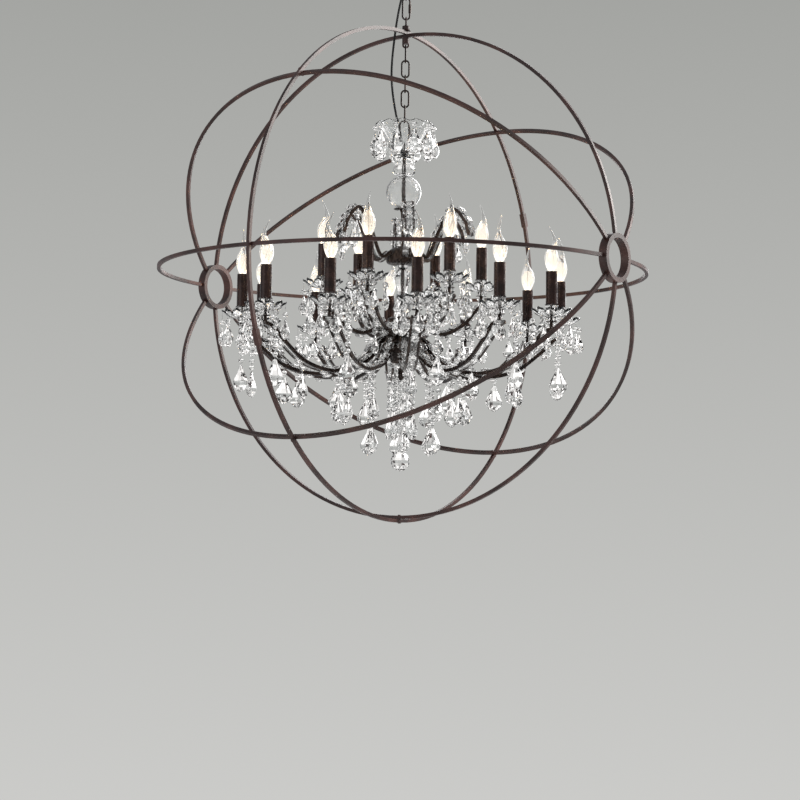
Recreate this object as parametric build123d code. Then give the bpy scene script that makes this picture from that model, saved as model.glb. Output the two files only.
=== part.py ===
"""Orb chandelier: an iron ring cage on a chain, with a crystal chandelier on its own chain inside it.

Millimetres. +Z is up and z = 0 is the ceiling. +X runs along the axis through the two hub rings.
Heights inside the cage are named from the cage's centre and moved down by ORB_Z at the end.
"""

from build123d import *
from math import cos, hypot, radians, sin, sqrt, tan
import os

# --- ceiling fitting ---
CROSSBAR_LENGTH = 108.0
CROSSBAR_WIDTH = 22.0
CROSSBAR_THICKNESS = 3.0
MOUNT_HOLE_SPACING = 89.0
MOUNT_HOLE_RADIUS = 2.5
NIPPLE_RADIUS = 6.35
NIPPLE_BORE_RADIUS = 4.0
NUT_ACROSS_FLATS = 22.0
NUT_HEIGHT = 6.0
CANOPY_RADIUS = 65.0
CANOPY_HEIGHT = 38.0
CANOPY_WALL = 1.5
CANOPY_SHOULDER = 14.0
COLLAR_RADIUS = 20.0
COLLAR_HEIGHT = 8.0
LOOP_SOCKET_RADIUS = 13.5
LOOP_SOCKET_HEIGHT = 21.0
LOOP_SOCKET_OVERLAP = 4.0
LOOP_WIRE = 5.0
LOOP_RING_RADIUS = 8.2

# --- chain ---
CHAIN_TURN = 35.0
LINK_WIRE = 4.0
LINK_INNER_LENGTH = 35.0
LINK_INNER_WIDTH = 12.5
QUICK_LINK_INNER_LENGTH = 46.0
QUICK_LINK_SLEEVE_RADIUS = 3.2
QUICK_LINK_SLEEVE_LENGTH = 20.0
LONG_LINK_INNER_LENGTH = 53.0
LONG_LINK_INNER_WIDTH = 17.0
LINK_GAP = 0.3
SLIDE_GAP = 0.3
LOWER_PLAIN_LINKS = 5

# --- cage ---
CROSS_RING_DIAMETER = 1117.0
BAR = 7.6
CROSSING_GAP = 0.3
RING_ANGLES = {"equator_ring": 0, "diagonal_ring_a": 45, "upright_ring": 90, "diagonal_ring_b": 135}
HUB_RING_DIAMETER = 106.0
HUB_RING_WALL = 10.5
HUB_RING_WIDTH = 19.0
WELD_GAP = 0.05
SPLICE_ANGLE = 20.0
SPLICE_LENGTH = 34.0
SPLICE_WALL = 2.0
SPLICE_CUT = 0.4
RIVET_RADIUS = 2.4
RIVET_HEAD_RADIUS = 4.2
RIVET_HEAD_HEIGHT = 2.0
FIT_GAP = 0.1
BOSS_RADIUS = 8.5
BOSS_FOOT_RADIUS = 11.0
BOSS_HEIGHT = 11.0
EYE_WIRE = 4.0
EYE_RING_RADIUS = 9.0
EYE_SHANK_RADIUS = 4.0
LOWER_EYE_BLOCK_RADIUS = 8.3
LOWER_EYE_BLOCK_HEIGHT = 14.8
LOWER_EYE_DROP = 23.4
LOWER_EYE_LEG = 6.25

# --- supply cord ---
CORD_DIAMETER = 5.0

# --- column of the crystal chandelier, heights from the cage's centre ---
CHANDELIER_TURN = 9.6
HOOK_WIRE = 4.0
HOOK_RING_RADIUS = 9.0
BOBBIN_RADIUS = 11.5
BOBBIN_HEIGHT = 15.0
ROD_RADIUS = 4.25
ROD_BORE_RADIUS = 2.8
WIRES_RADIUS = 2.4
ROD_GAP = 0.1
SEAT_GAP = 0.2
CROWN_RIM_RADIUS = 65.0
CROWN_TOP_Z = 345.0
CROWN_NECK_RADIUS = 23.0
CROWN_NECK_LENGTH = 19.0
CROWN_GLASS = 3.5
KNOB_RADIUS = 26.5
KNOB_HEIGHT = 22.0
BALL_RADIUS = 40.0
BALL_DISC_RADIUS = 22.0
BALL_DISC_THICKNESS = 3.0
NECK_RADIUS = 6.3
NECK_LENGTH = 20.0
SPINDLE_RADIUS = 19.0
SPINDLE_LENGTH = 62.0
UPPER_HUB_RADIUS = 38.0
UPPER_HUB_HEIGHT = 44.0
COLUMN_GLASS_RADIUS = 20.0
UPPER_ARM_HUB_RADIUS = 32.0
UPPER_ARM_HUB_TOP_Z = -100.0
UPPER_ARM_HUB_HEIGHT = 32.0
LOWER_HUB_RADIUS = 36.0
LOWER_HUB_HEIGHT = 28.0
BELL_HEIGHT = 46.0
BELL_TOP_RADIUS = 34.0
BELL_RIM_RADIUS = 31.0
DISH_RADIUS = 31.0
DISH_HEIGHT = 9.0
KNOT_RADIUS = 10.0
KNOT_HEIGHT = 26.0
BOTTOM_BALL_RADIUS = 22.0
BOTTOM_BALL_DROP = 181.0

# --- arms: radius and height of the middle of the ribbon, from the hub out to the tip ---
LOWER_CANDLE_RADIUS = 359.0
LOWER_SLEEVE_TOP_Z = -11.0
LOWER_ARM_COUNT = 12
UPPER_CANDLE_RADIUS = 179.0
UPPER_SLEEVE_TOP_Z = 62.0
UPPER_ARM_COUNT = 6
ARM_WIDTH = 26.0
ARM_ROOT_WIDTH = 17.0
ARM_TAPER_LENGTH = 42.0
ARM_THICKNESS = 6.0
LOWER_ARM_ROOT_DROP = 14.0
LOWER_ARM_SAG = 97.0
UPPER_ARM_ROOT_DROP = 16.0
UPPER_ARM_SAG = 76.0
SCROLL_WIDTH = 22.0
SCROLL_THICKNESS = 5.0
SCROLL_RADIUS = 166.0
SCROLL_RISE = 92.0
SCROLL_ROOT_DROP = 16.0

# --- one candle, heights from the bottom of its sleeve ---
SLEEVE_RADIUS = 12.5
SLEEVE_WALL = 1.2
SLEEVE_LENGTH = 75.0
SOCKET_RADIUS = 10.8
SOCKET_LENGTH = 58.0
SOCKET_BORE_RADIUS = 7.2
SOCKET_BORE_DEPTH = 32.0
BULB_RADIUS = 17.5
BULB_HEIGHT = 100.0
BULB_BASE_RADIUS = 6.6
BULB_BASE_LENGTH = 28.0
CUP_RADIUS = 14.8
CUP_DEPTH = 22.0
CUP_LIP = 3.0
BOBECHE_RADIUS = 46.0
BOBECHE_RISE = 14.0
BOBECHE_GLASS = 3.0
BOBECHE_NECK_RADIUS = 8.5
BOBECHE_NECK_LENGTH = 9.0
BOBECHE_PETALS = 10
STEM_RADIUS = 3.2
STEM_TAIL = 12.0
DRIP_DISC_RADIUS = 11.5
DRIP_DISC_THICKNESS = 1.5

# --- crystal drops and strands ---
PIN_RADIUS = 0.8
BEAD_RADIUS = 6.5
BEAD_PITCH = 15.0
PEAR_RADIUS = 13.0
PEAR_LENGTH = 46.0
BIG_PEAR_RADIUS = 18.5
BIG_PEAR_LENGTH = 62.0
DROP_GAP = 0.3
ARM_DROP_GAP = 0.8
RIM_DROP_ANGLES = (-140, -90, -45, 0, 45, 140)
LONG_STRAND_ANGLE = 90
DROP_RIM_INSET = 2.5
CROWN_DROP_COUNT = 10
CENTRE_STRAND_COUNT = 6
CROWN_STRAND_LENGTH = 84.0
SCROLL_STRAND_LENGTH = 70.0
SHORT_STRAND_LENGTH = 76.0
LONG_STRAND_LENGTH = 180.0
MIDDLE_STRAND_LENGTH = 115.0
OUTER_STRAND_LENGTH = 82.0
CENTRE_STRAND_LENGTH = 165.0
INNER_STRAND_LENGTH = 218.0
MIDDLE_STRAND_RADIUS = 142.0
OUTER_STRAND_RADIUS = 262.0
CENTRE_STRAND_RADIUS = 27.5
INNER_STRAND_RADIUS = 78.0

# --- worked out from the sizes above ---
CROSS_RADIUS = CROSS_RING_DIAMETER / 2 - BAR / 2
RING_RADIUS = CROSS_RADIUS - BAR - CROSSING_GAP
HUB_X = sqrt(RING_RADIUS**2 - (HUB_RING_DIAMETER / 2) ** 2)
ORB_TOP = CROSS_RING_DIAMETER / 2
RING_INSIDE_TOP = RING_RADIUS - BAR / 2
EYE_BOTTOM = ORB_TOP + BOSS_HEIGHT + EYE_WIRE / 2
EYE_TOP_WIRE = EYE_BOTTOM + 2 * EYE_RING_RADIUS
HANG_HEIGHT = EYE_TOP_WIRE - EYE_WIRE / 2 - LINK_WIRE / 2 - LINK_GAP
LOWER_EYE_WIRE = RING_INSIDE_TOP - LOWER_EYE_DROP
LINK_PITCH = LINK_INNER_LENGTH - LINK_GAP
CANOPY_HOLE_RADIUS = LOOP_SOCKET_RADIUS + SLIDE_GAP
LOOP_TOP = -CANOPY_HEIGHT + LOOP_SOCKET_OVERLAP
LOOP_BOTTOM = LOOP_TOP - LOOP_SOCKET_HEIGHT
LOOP_WIRE_Z = LOOP_BOTTOM - 2 * LOOP_RING_RADIUS + LOOP_WIRE / 2
LOOP_HANG = LOOP_WIRE / 2 + LINK_WIRE / 2 + LINK_GAP
UPPER_LINK_Z = LOOP_WIRE_Z + LOOP_HANG - LINK_INNER_LENGTH - LINK_WIRE
QUICK_LINK_Z = UPPER_LINK_Z - QUICK_LINK_INNER_LENGTH + LINK_GAP
ORB_Z = QUICK_LINK_Z - HANG_HEIGHT
LOWER_CHAIN_END = LOWER_EYE_WIRE - LOWER_PLAIN_LINKS * LINK_PITCH
LONG_LINK_WIRE = LOWER_CHAIN_END - LONG_LINK_INNER_LENGTH + LINK_GAP
HOOK_TOP_WIRE = LONG_LINK_WIRE + LINK_WIRE / 2 + HOOK_WIRE / 2 + LINK_GAP
BOBBIN_TOP = HOOK_TOP_WIRE - 2 * HOOK_RING_RADIUS - HOOK_WIRE / 2 + LOOP_SOCKET_OVERLAP / 2
BOBBIN_BOTTOM = BOBBIN_TOP - BOBBIN_HEIGHT
CROWN_BOTTOM = BOBBIN_BOTTOM - SEAT_GAP
KNOB_TOP = CROWN_BOTTOM - CROWN_NECK_LENGTH - SEAT_GAP
BALL_FLAT = sqrt(BALL_RADIUS**2 - (ROD_RADIUS * 3) ** 2)
BALL_Z = KNOB_TOP - KNOB_HEIGHT - SEAT_GAP - BALL_FLAT
DISC_TOP = BALL_Z - BALL_FLAT - SEAT_GAP
SPINDLE_TOP = DISC_TOP - BALL_DISC_THICKNESS - NECK_LENGTH - SEAT_GAP
UPPER_HUB_TOP = SPINDLE_TOP - SPINDLE_LENGTH - SEAT_GAP
UPPER_HUB_BOTTOM = UPPER_HUB_TOP - UPPER_HUB_HEIGHT
UPPER_ARM_HUB_BOTTOM = UPPER_ARM_HUB_TOP_Z - UPPER_ARM_HUB_HEIGHT
LOWER_HUB_TOP = UPPER_ARM_HUB_BOTTOM - SEAT_GAP
LOWER_HUB_BOTTOM = LOWER_HUB_TOP - LOWER_HUB_HEIGHT
BELL_TOP = LOWER_HUB_BOTTOM - SEAT_GAP
BELL_BOTTOM = BELL_TOP - BELL_HEIGHT
DISH_TOP = BELL_BOTTOM - SEAT_GAP
KNOT_TOP = DISH_TOP - DISH_HEIGHT - SEAT_GAP
KNOT_BOTTOM = KNOT_TOP - KNOT_HEIGHT
LOWER_SLEEVE_Z = LOWER_SLEEVE_TOP_Z - SLEEVE_LENGTH
UPPER_SLEEVE_Z = UPPER_SLEEVE_TOP_Z - SLEEVE_LENGTH
BOBECHE_TOP = -CUP_DEPTH - SEAT_GAP
BOBECHE_BOTTOM = BOBECHE_TOP - BOBECHE_GLASS
DRIP_DISC_TOP = BOBECHE_BOTTOM - BOBECHE_NECK_LENGTH - SEAT_GAP
STEM_BOTTOM = DRIP_DISC_TOP - DRIP_DISC_THICKNESS - STEM_TAIL
LOWER_ARM_TIP_Z = LOWER_SLEEVE_Z + STEM_BOTTOM
UPPER_ARM_TIP_Z = UPPER_SLEEVE_Z + STEM_BOTTOM
RIM_RADIUS = BOBECHE_RADIUS - DROP_RIM_INSET
RIM_SLOPE = BOBECHE_RISE / (BOBECHE_RADIUS - BOBECHE_NECK_RADIUS)
RIM_UNDERSIDE = BOBECHE_BOTTOM + RIM_SLOPE * (RIM_RADIUS - BOBECHE_NECK_RADIUS)
SOCKET_TOP = SLEEVE_LENGTH - SLEEVE_WALL
SOCKET_BOTTOM = SOCKET_TOP - SOCKET_LENGTH
UPPER_TURN = CHANDELIER_TURN + 360.0 / LOWER_ARM_COUNT


# --- helpers ---
def turned(points):
    """A solid of revolution about Z from (radius, height) points, closed along the axis or its bore."""
    outline = Plane.XZ * make_face(Polyline(*points, close=True))
    return revolve(outline, Axis.Z)


def around(shape, count, first=0.0):
    """Copies of a shape at equal turns about Z, the first at the given angle."""
    return [Rot(0, 0, first + 360.0 * k / count) * shape for k in range(count)]


def in_cage(shapes):
    """Moves shapes drawn about the cage's centre to their height under the ceiling."""
    return [Pos(0, 0, ORB_Z) * shape for shape in shapes]


def ring_bar(radius, side):
    """A square bar bent into a full ring about Z."""
    section = Plane.XZ * Pos(radius, 0) * Rectangle(side, side)
    return revolve(section, Axis.Z)


def wire_ring(radius, wire):
    """A round wire bent into a closed ring that stands in the XZ plane."""
    return Rot(90, 0, 0) * Torus(radius, wire / 2)


def link(inner_length, inner_width, wire):
    """A stadium-shaped link that stands in the XZ plane, with the wire of its lower bend at z = 0."""
    bend = (inner_width + wire) / 2
    straight = inner_length - inner_width
    leg = Cylinder(wire / 2, straight)
    ring = wire_ring(bend, wire)
    half = Box(4 * bend, 4 * bend, 4 * bend, align=(Align.CENTER, Align.CENTER, Align.MAX))
    lower = ring & half
    upper = Pos(0, 0, straight) * (ring - half)
    legs = [Pos(side * bend, 0, straight / 2) * leg for side in (-1, 1)]
    return Pos(0, 0, bend) * (lower + upper + legs[0] + legs[1])


# --- ceiling fitting ---
def ceiling_crossbar():
    bar = Pos(0, 0, -CROSSBAR_THICKNESS / 2) * Box(CROSSBAR_LENGTH, CROSSBAR_WIDTH, CROSSBAR_THICKNESS)
    ends = Pos(0, 0, -CROSSBAR_THICKNESS / 2) * Cylinder(CROSSBAR_LENGTH / 2, CROSSBAR_THICKNESS)
    hole = Cylinder(MOUNT_HOLE_RADIUS, 4 * CROSSBAR_THICKNESS)
    bar = (bar & ends) - Cylinder(NIPPLE_RADIUS + FIT_GAP / 2, 4 * CROSSBAR_THICKNESS)
    for side in (-1, 1):
        bar -= Pos(side * MOUNT_HOLE_SPACING / 2, 0, 0) * hole
    return [bar]


def threaded_nipple():
    length = CANOPY_HEIGHT + LOOP_SOCKET_OVERLAP
    tube = Cylinder(NIPPLE_RADIUS, length) - Cylinder(NIPPLE_BORE_RADIUS, length)
    return [Pos(0, 0, -length / 2) * tube]


def nipple_nut():
    nut = extrude(RegularPolygon(NUT_ACROSS_FLATS / 2, 6, major_radius=False), NUT_HEIGHT)
    nut -= Cylinder(NIPPLE_RADIUS + FIT_GAP / 2, 4 * NUT_HEIGHT)
    return [Pos(0, 0, -CROSSBAR_THICKNESS - NUT_HEIGHT) * nut]


def canopy_loop():
    body = Pos(0, 0, LOOP_TOP - LOOP_SOCKET_HEIGHT / 2) * Cylinder(LOOP_SOCKET_RADIUS, LOOP_SOCKET_HEIGHT)
    thread = Cylinder(NIPPLE_RADIUS + FIT_GAP / 2, 2 * (CANOPY_HEIGHT + LOOP_SOCKET_OVERLAP + FIT_GAP))
    ring = Pos(0, 0, LOOP_WIRE_Z + LOOP_RING_RADIUS) * wire_ring(LOOP_RING_RADIUS, LOOP_WIRE)
    hole = Cylinder(CORD_DIAMETER / 2 + FIT_GAP, LOOP_SOCKET_HEIGHT * 3)
    hole = Pos(-CORD_EXIT_OFFSET, -CORD_EXIT_OFFSET, LOOP_BOTTOM) * hole
    return [Rot(0, 0, CHAIN_TURN) * (body + ring - thread - hole)]


def canopy():
    top, wall, rim = 0.0, CANOPY_WALL, CANOPY_RADIUS
    low = -CANOPY_HEIGHT
    outer = [
        (rim, top), (rim, -CANOPY_SHOULDER), (rim - CANOPY_SHOULDER, low + wall),
        (COLLAR_RADIUS + wall, low), (CANOPY_HOLE_RADIUS, low),
    ]
    inner = [
        (CANOPY_HOLE_RADIUS, low + wall), (COLLAR_RADIUS + wall, low + wall),
        (rim - CANOPY_SHOULDER - wall, low + 2 * wall), (rim - wall, -CANOPY_SHOULDER), (rim - wall, top),
    ]
    return [turned(outer + inner)]


def canopy_collar():
    top, low = -CANOPY_HEIGHT, -CANOPY_HEIGHT - COLLAR_HEIGHT
    bore, wide = CANOPY_HOLE_RADIUS, COLLAR_RADIUS
    return [turned([
        (bore, low), (wide - CANOPY_WALL, low), (wide, low + CANOPY_WALL), (wide, top - CANOPY_WALL),
        (wide - CANOPY_WALL, top), (bore, top),
    ])]


# --- upper chain ---
def plain_link(wire_z, across):
    """A plain link with its lower bend's wire at wire_z, turned a quarter where it runs across."""
    turn = CHAIN_TURN + (90 if across else 0)
    return Pos(0, 0, wire_z) * Rot(0, 0, turn) * link(LINK_INNER_LENGTH, LINK_INNER_WIDTH, LINK_WIRE)


def quick_link():
    body = link(QUICK_LINK_INNER_LENGTH, LINK_INNER_WIDTH, LINK_WIRE)
    return [Pos(0, 0, QUICK_LINK_Z) * Rot(0, 0, CHAIN_TURN) * body]


def quick_link_sleeve():
    """The threaded sleeve that closes the gap in the quick link's right leg."""
    leg = (LINK_INNER_WIDTH + LINK_WIRE) / 2
    middle = (QUICK_LINK_INNER_LENGTH + LINK_WIRE) / 2
    sleeve = Cylinder(QUICK_LINK_SLEEVE_RADIUS, QUICK_LINK_SLEEVE_LENGTH)
    sleeve -= Cylinder(LINK_WIRE / 2 + WELD_GAP, QUICK_LINK_SLEEVE_LENGTH)
    return [Pos(0, 0, QUICK_LINK_Z) * Rot(0, 0, CHAIN_TURN) * Pos(leg, 0, middle) * sleeve]


# --- cage ---
def cage_ring(angle):
    """Two half arcs that end on the hub rings, turned about X by the ring's angle."""
    ring = ring_bar(RING_RADIUS, BAR)
    ring -= Rot(0, 90, 0) * Cylinder(HUB_RING_DIAMETER / 2 + WELD_GAP, 4 * RING_RADIUS)
    for side in (-1, 1):
        top = angle == RING_ANGLES["upright_ring"] and side == 1
        hole = (EYE_SHANK_RADIUS if top else RIVET_RADIUS) + FIT_GAP
        ring -= Pos(0, side * RING_RADIUS, 0) * Rot(90, 0, 0) * Cylinder(hole, 2 * BAR)
    return in_cage([Rot(angle, 0, 0) * arc for arc in ring.solids()])


def cross_ring():
    """The larger ring outside the others, in two halves that meet inside the splice sleeves."""
    ring = Rot(0, 90, 0) * ring_bar(CROSS_RADIUS, BAR)
    for k in range(8):
        hole = (EYE_SHANK_RADIUS if k == 2 else RIVET_RADIUS) + FIT_GAP
        ring -= Rot(45 * k, 0, 0) * Pos(0, CROSS_RADIUS, 0) * Rot(90, 0, 0) * Cylinder(hole, 2 * BAR)
    ring -= Rot(SPLICE_ANGLE, 0, 0) * Box(2 * BAR, 3 * CROSS_RADIUS, SPLICE_CUT)
    return in_cage(ring.solids())


def splice_sleeves():
    outer = ring_bar(CROSS_RADIUS, BAR + 2 * SPLICE_WALL)
    sleeve = outer - ring_bar(CROSS_RADIUS, BAR + 2 * FIT_GAP)
    sleeve &= Pos(CROSS_RADIUS, 0, 0) * Box(4 * BAR, SPLICE_LENGTH, 4 * BAR)
    sleeve = Rot(0, 0, 90) * sleeve
    upright = Rot(0, 90, 0) * sleeve
    return in_cage([Rot(SPLICE_ANGLE + half, 0, 0) * upright for half in (0, 180)])


def crossing_rivets():
    """Rivets through both bars wherever the cross ring passes a cage ring, apart from the top."""
    inside = RING_RADIUS - BAR / 2
    outside = CROSS_RADIUS + BAR / 2
    head, shank, tall = RIVET_HEAD_RADIUS, RIVET_RADIUS, RIVET_HEAD_HEIGHT
    rivet = turned([
        (0, inside - tall), (head * 0.7, inside - tall), (head, inside - FIT_GAP), (shank, inside - FIT_GAP),
        (shank, outside + FIT_GAP), (head, outside + FIT_GAP), (head * 0.7, outside + tall),
        (0, outside + tall),
    ])
    return in_cage([Rot(45 * k, 0, 0) * rivet for k in range(1, 8)])


def hub_ring(side):
    outer = Cylinder(HUB_RING_DIAMETER / 2, HUB_RING_WIDTH)
    ring = outer - Cylinder(HUB_RING_DIAMETER / 2 - HUB_RING_WALL, HUB_RING_WIDTH)
    return in_cage([Pos(side * HUB_X, 0, 0) * Rot(0, 90, 0) * ring])


def top_boss():
    bore = EYE_SHANK_RADIUS + FIT_GAP
    low = ORB_TOP + WELD_GAP
    high = ORB_TOP + BOSS_HEIGHT
    foot = low + BOSS_HEIGHT / 4
    points = [(bore, low), (BOSS_FOOT_RADIUS, low), (BOSS_RADIUS, foot), (BOSS_RADIUS, high), (bore, high)]
    return in_cage([turned(points)])


def top_eye_bolt():
    shank_bottom = RING_INSIDE_TOP - LOWER_EYE_BLOCK_HEIGHT * 2 / 3
    length = EYE_BOTTOM - shank_bottom
    shank = Pos(0, 0, shank_bottom + length / 2) * Cylinder(EYE_SHANK_RADIUS, length)
    ring = Pos(0, 0, EYE_BOTTOM + EYE_RING_RADIUS) * wire_ring(EYE_RING_RADIUS, EYE_WIRE)
    return in_cage([Rot(0, 0, CHAIN_TURN + 90) * (ring + shank)])


def lower_eye():
    top = RING_INSIDE_TOP - FIT_GAP
    block = Cylinder(LOWER_EYE_BLOCK_RADIUS, LOWER_EYE_BLOCK_HEIGHT)
    block = Pos(0, 0, top - LOWER_EYE_BLOCK_HEIGHT / 2) * block
    bend_z = LOWER_EYE_WIRE + LOWER_EYE_LEG
    block_bottom = top - LOWER_EYE_BLOCK_HEIGHT
    bow = wire_ring(LOWER_EYE_LEG, LINK_WIRE)
    bow &= Box(60, 60, 60, align=(Align.CENTER, Align.CENTER, Align.MAX))
    bow = Pos(0, 0, bend_z) * bow
    leg_length = block_bottom - bend_z + LINK_WIRE / 2
    for side in (-1, 1):
        bow += Pos(side * LOWER_EYE_LEG, 0, bend_z + leg_length / 2) * Cylinder(LINK_WIRE / 2, leg_length)
    shank_room = Cylinder(EYE_SHANK_RADIUS + WELD_GAP, 2 * (LOWER_EYE_BLOCK_HEIGHT * 2 / 3 + FIT_GAP))
    eye = block + bow - Pos(0, 0, RING_INSIDE_TOP) * shank_room
    return in_cage([Rot(0, 0, CHAIN_TURN) * eye])


# --- lower chain ---
def lower_link(number):
    wire_z = ORB_Z + LOWER_EYE_WIRE - number * LINK_PITCH
    return [plain_link(wire_z, number % 2 == 1)]


def long_link():
    body = link(LONG_LINK_INNER_LENGTH, LONG_LINK_INNER_WIDTH, LINK_WIRE)
    return in_cage([Pos(0, 0, LONG_LINK_WIRE) * Rot(0, 0, CHAIN_TURN) * body])


# --- supply cord ---
# Points are (left in the photograph's view, toward the viewer, height), measured from the chain.
CORD_EXIT_OFFSET = 6.6
CORD_ENTRY_LEFT = 5.8
CORD_ENTRY_NEAR = 5.2
CORD_ENTRY_Z = ORB_Z + BOBBIN_TOP - FIT_GAP
CORD_ROUTE = [
    (CORD_EXIT_OFFSET, CORD_EXIT_OFFSET, LOOP_BOTTOM + 4.0),
    (CORD_EXIT_OFFSET, CORD_EXIT_OFFSET, LOOP_BOTTOM - 15.0),
    (7.6, 7.2, ORB_Z + 645.0),
    (13.6, 8.2, ORB_Z + 622.0),
    (19.0, 8.0, ORB_Z + 592.0),
    (23.6, 6.8, ORB_Z + 560.0),
    (27.4, 5.4, ORB_Z + 526.0),
    (30.4, 4.6, ORB_Z + 492.0),
    (31.8, 4.2, ORB_Z + 458.0),
    (29.8, 4.6, ORB_Z + 424.0),
    (25.2, 6.0, ORB_Z + 390.0),
    (19.0, 7.6, ORB_Z + 358.0),
    (12.4, 8.2, ORB_Z + 330.0),
    (7.8, 7.0, ORB_Z + 308.0),
    (CORD_ENTRY_LEFT, CORD_ENTRY_NEAR, ORB_Z + 292.0),
    (CORD_ENTRY_LEFT, CORD_ENTRY_NEAR, CORD_ENTRY_Z),
]


def supply_cord():
    """A round tube along straight runs joined by tangent arcs, each as large as its two runs allow."""
    left = Vector(-cos(radians(CHAIN_TURN)), -sin(radians(CHAIN_TURN)))
    near = Vector(sin(radians(CHAIN_TURN)), -cos(radians(CHAIN_TURN)))
    points = [left * p[0] + near * p[1] + Vector(0, 0, p[2]) for p in CORD_ROUTE]
    radii = []
    for before, here, after in zip(points, points[1:], points[2:]):
        turn = (here - before).get_angle(after - here)
        shorter = min((here - before).length, (after - here).length)
        radii.append(0.45 * shorter / tan(radians(turn / 2)))
    path = FilletPolyline(*points, radius=radii)
    section = Plane(origin=path @ 0, z_dir=path % 0) * Circle(CORD_DIAMETER / 2)
    tube = sweep(section, path=path)
    expected = path.length * section.area
    print("cord radii", [round(r) for r in radii], "length", round(path.length, 1))
    print("cord volume over section times length", round(tube.volume / expected, 4))
    return [tube]


# --- column of the crystal chandelier ---
def crown_hook():
    ring = Pos(0, 0, HOOK_TOP_WIRE - HOOK_RING_RADIUS) * wire_ring(HOOK_RING_RADIUS, HOOK_WIRE)
    waist = BOBBIN_RADIUS * 0.7
    third = BOBBIN_HEIGHT / 3
    bobbin = turned([
        (0, BOBBIN_BOTTOM), (BOBBIN_RADIUS, BOBBIN_BOTTOM), (BOBBIN_RADIUS, BOBBIN_BOTTOM + third * 0.7),
        (waist, BOBBIN_BOTTOM + third * 1.5), (BOBBIN_RADIUS, BOBBIN_TOP - third * 0.7),
        (BOBBIN_RADIUS, BOBBIN_TOP), (0, BOBBIN_TOP),
    ])
    bobbin -= Pos(0, 0, BOBBIN_BOTTOM) * Cylinder(ROD_RADIUS + ROD_GAP, BOBBIN_HEIGHT)
    cord_room = Cylinder(CORD_DIAMETER / 2 + FIT_GAP, FIT_GAP * 2)
    cord_room = Pos(-CORD_ENTRY_LEFT, -CORD_ENTRY_NEAR, BOBBIN_TOP) * cord_room
    bobbin -= Rot(0, 0, CHAIN_TURN) * cord_room
    return in_cage([Rot(0, 0, CHAIN_TURN + 90) * ring + bobbin])


def centre_rod():
    top = BOBBIN_BOTTOM + BOBBIN_HEIGHT / 2 - ROD_GAP
    bottom = KNOT_BOTTOM + KNOT_HEIGHT / 4
    length = top - bottom
    tube = Cylinder(ROD_RADIUS, length) - Cylinder(ROD_BORE_RADIUS, length)
    return in_cage([Pos(0, 0, (top + bottom) / 2) * tube])


def rod_wires():
    top = BOBBIN_BOTTOM + BOBBIN_HEIGHT / 2 - 2 * ROD_GAP
    length = top - LOWER_HUB_BOTTOM
    return in_cage([Pos(0, 0, top - length / 2) * Cylinder(WIRES_RADIUS, length)])


def column_piece(profile):
    """A turned piece threaded on the centre rod, from the (radius, height) points of its outside."""
    bore = ROD_RADIUS + ROD_GAP
    first, last = profile[0][1], profile[-1][1]
    return in_cage([turned([(bore, first)] + profile + [(bore, last)])])


def crown_bowl():
    neck_bottom = CROWN_BOTTOM - CROWN_NECK_LENGTH
    wall = CROWN_GLASS
    rise = CROWN_TOP_Z - CROWN_BOTTOM
    bore = ROD_RADIUS + ROD_GAP
    wide, neck = CROWN_RIM_RADIUS, CROWN_NECK_RADIUS
    outer = [
        (neck, neck_bottom), (neck, CROWN_BOTTOM + rise * 0.05), (neck * 1.35, CROWN_BOTTOM + rise * 0.3),
        (neck * 1.95, CROWN_BOTTOM + rise * 0.65), (wide * 0.96, CROWN_BOTTOM + rise * 0.9),
        (wide, CROWN_TOP_Z),
    ]
    inner = [(r - wall, z) for r, z in reversed(outer[2:])]
    floor = [(BOBBIN_RADIUS + FIT_GAP, CROWN_BOTTOM + rise * 0.05), (BOBBIN_RADIUS + FIT_GAP, CROWN_BOTTOM)]
    return in_cage([turned([(bore, neck_bottom)] + outer + inner + floor + [(bore, CROWN_BOTTOM)])])


def glass_knob():
    low, high, wide = KNOB_TOP - KNOB_HEIGHT, KNOB_TOP, KNOB_RADIUS
    return column_piece([
        (wide * 0.6, low), (wide, low + KNOB_HEIGHT * 0.3), (wide, low + KNOB_HEIGHT * 0.65),
        (wide * 0.8, high),
    ])


def glass_ball():
    ball = Sphere(BALL_RADIUS)
    ball &= Cylinder(2 * BALL_RADIUS, 2 * BALL_FLAT)
    ball -= Cylinder(ROD_RADIUS + ROD_GAP, 4 * BALL_RADIUS)
    return in_cage([Pos(0, 0, BALL_Z) * ball])


def ball_disc():
    low = DISC_TOP - BALL_DISC_THICKNESS
    return column_piece([
        (NECK_RADIUS * 0.8, low - NECK_LENGTH), (NECK_RADIUS, low - NECK_LENGTH * 0.3),
        (NECK_RADIUS * 1.4, low), (BALL_DISC_RADIUS, low + BALL_DISC_THICKNESS / 2),
        (BALL_DISC_RADIUS, DISC_TOP),
    ])


def glass_spindle():
    low, tall, wide = SPINDLE_TOP - SPINDLE_LENGTH, SPINDLE_LENGTH, SPINDLE_RADIUS
    return column_piece([
        (wide * 0.6, low), (wide, low + tall * 0.25), (wide * 0.5, low + tall * 0.5),
        (wide * 0.85, low + tall * 0.8), (wide * 0.5, SPINDLE_TOP),
    ])


def upper_hub():
    low, tall, wide = UPPER_HUB_BOTTOM, UPPER_HUB_HEIGHT, UPPER_HUB_RADIUS
    return column_piece([
        (wide * 0.5, low), (wide, low + tall * 0.2), (wide, low + tall * 0.7),
        (wide * 0.7, low + tall * 0.9), (wide * 0.35, UPPER_HUB_TOP),
    ])


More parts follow.
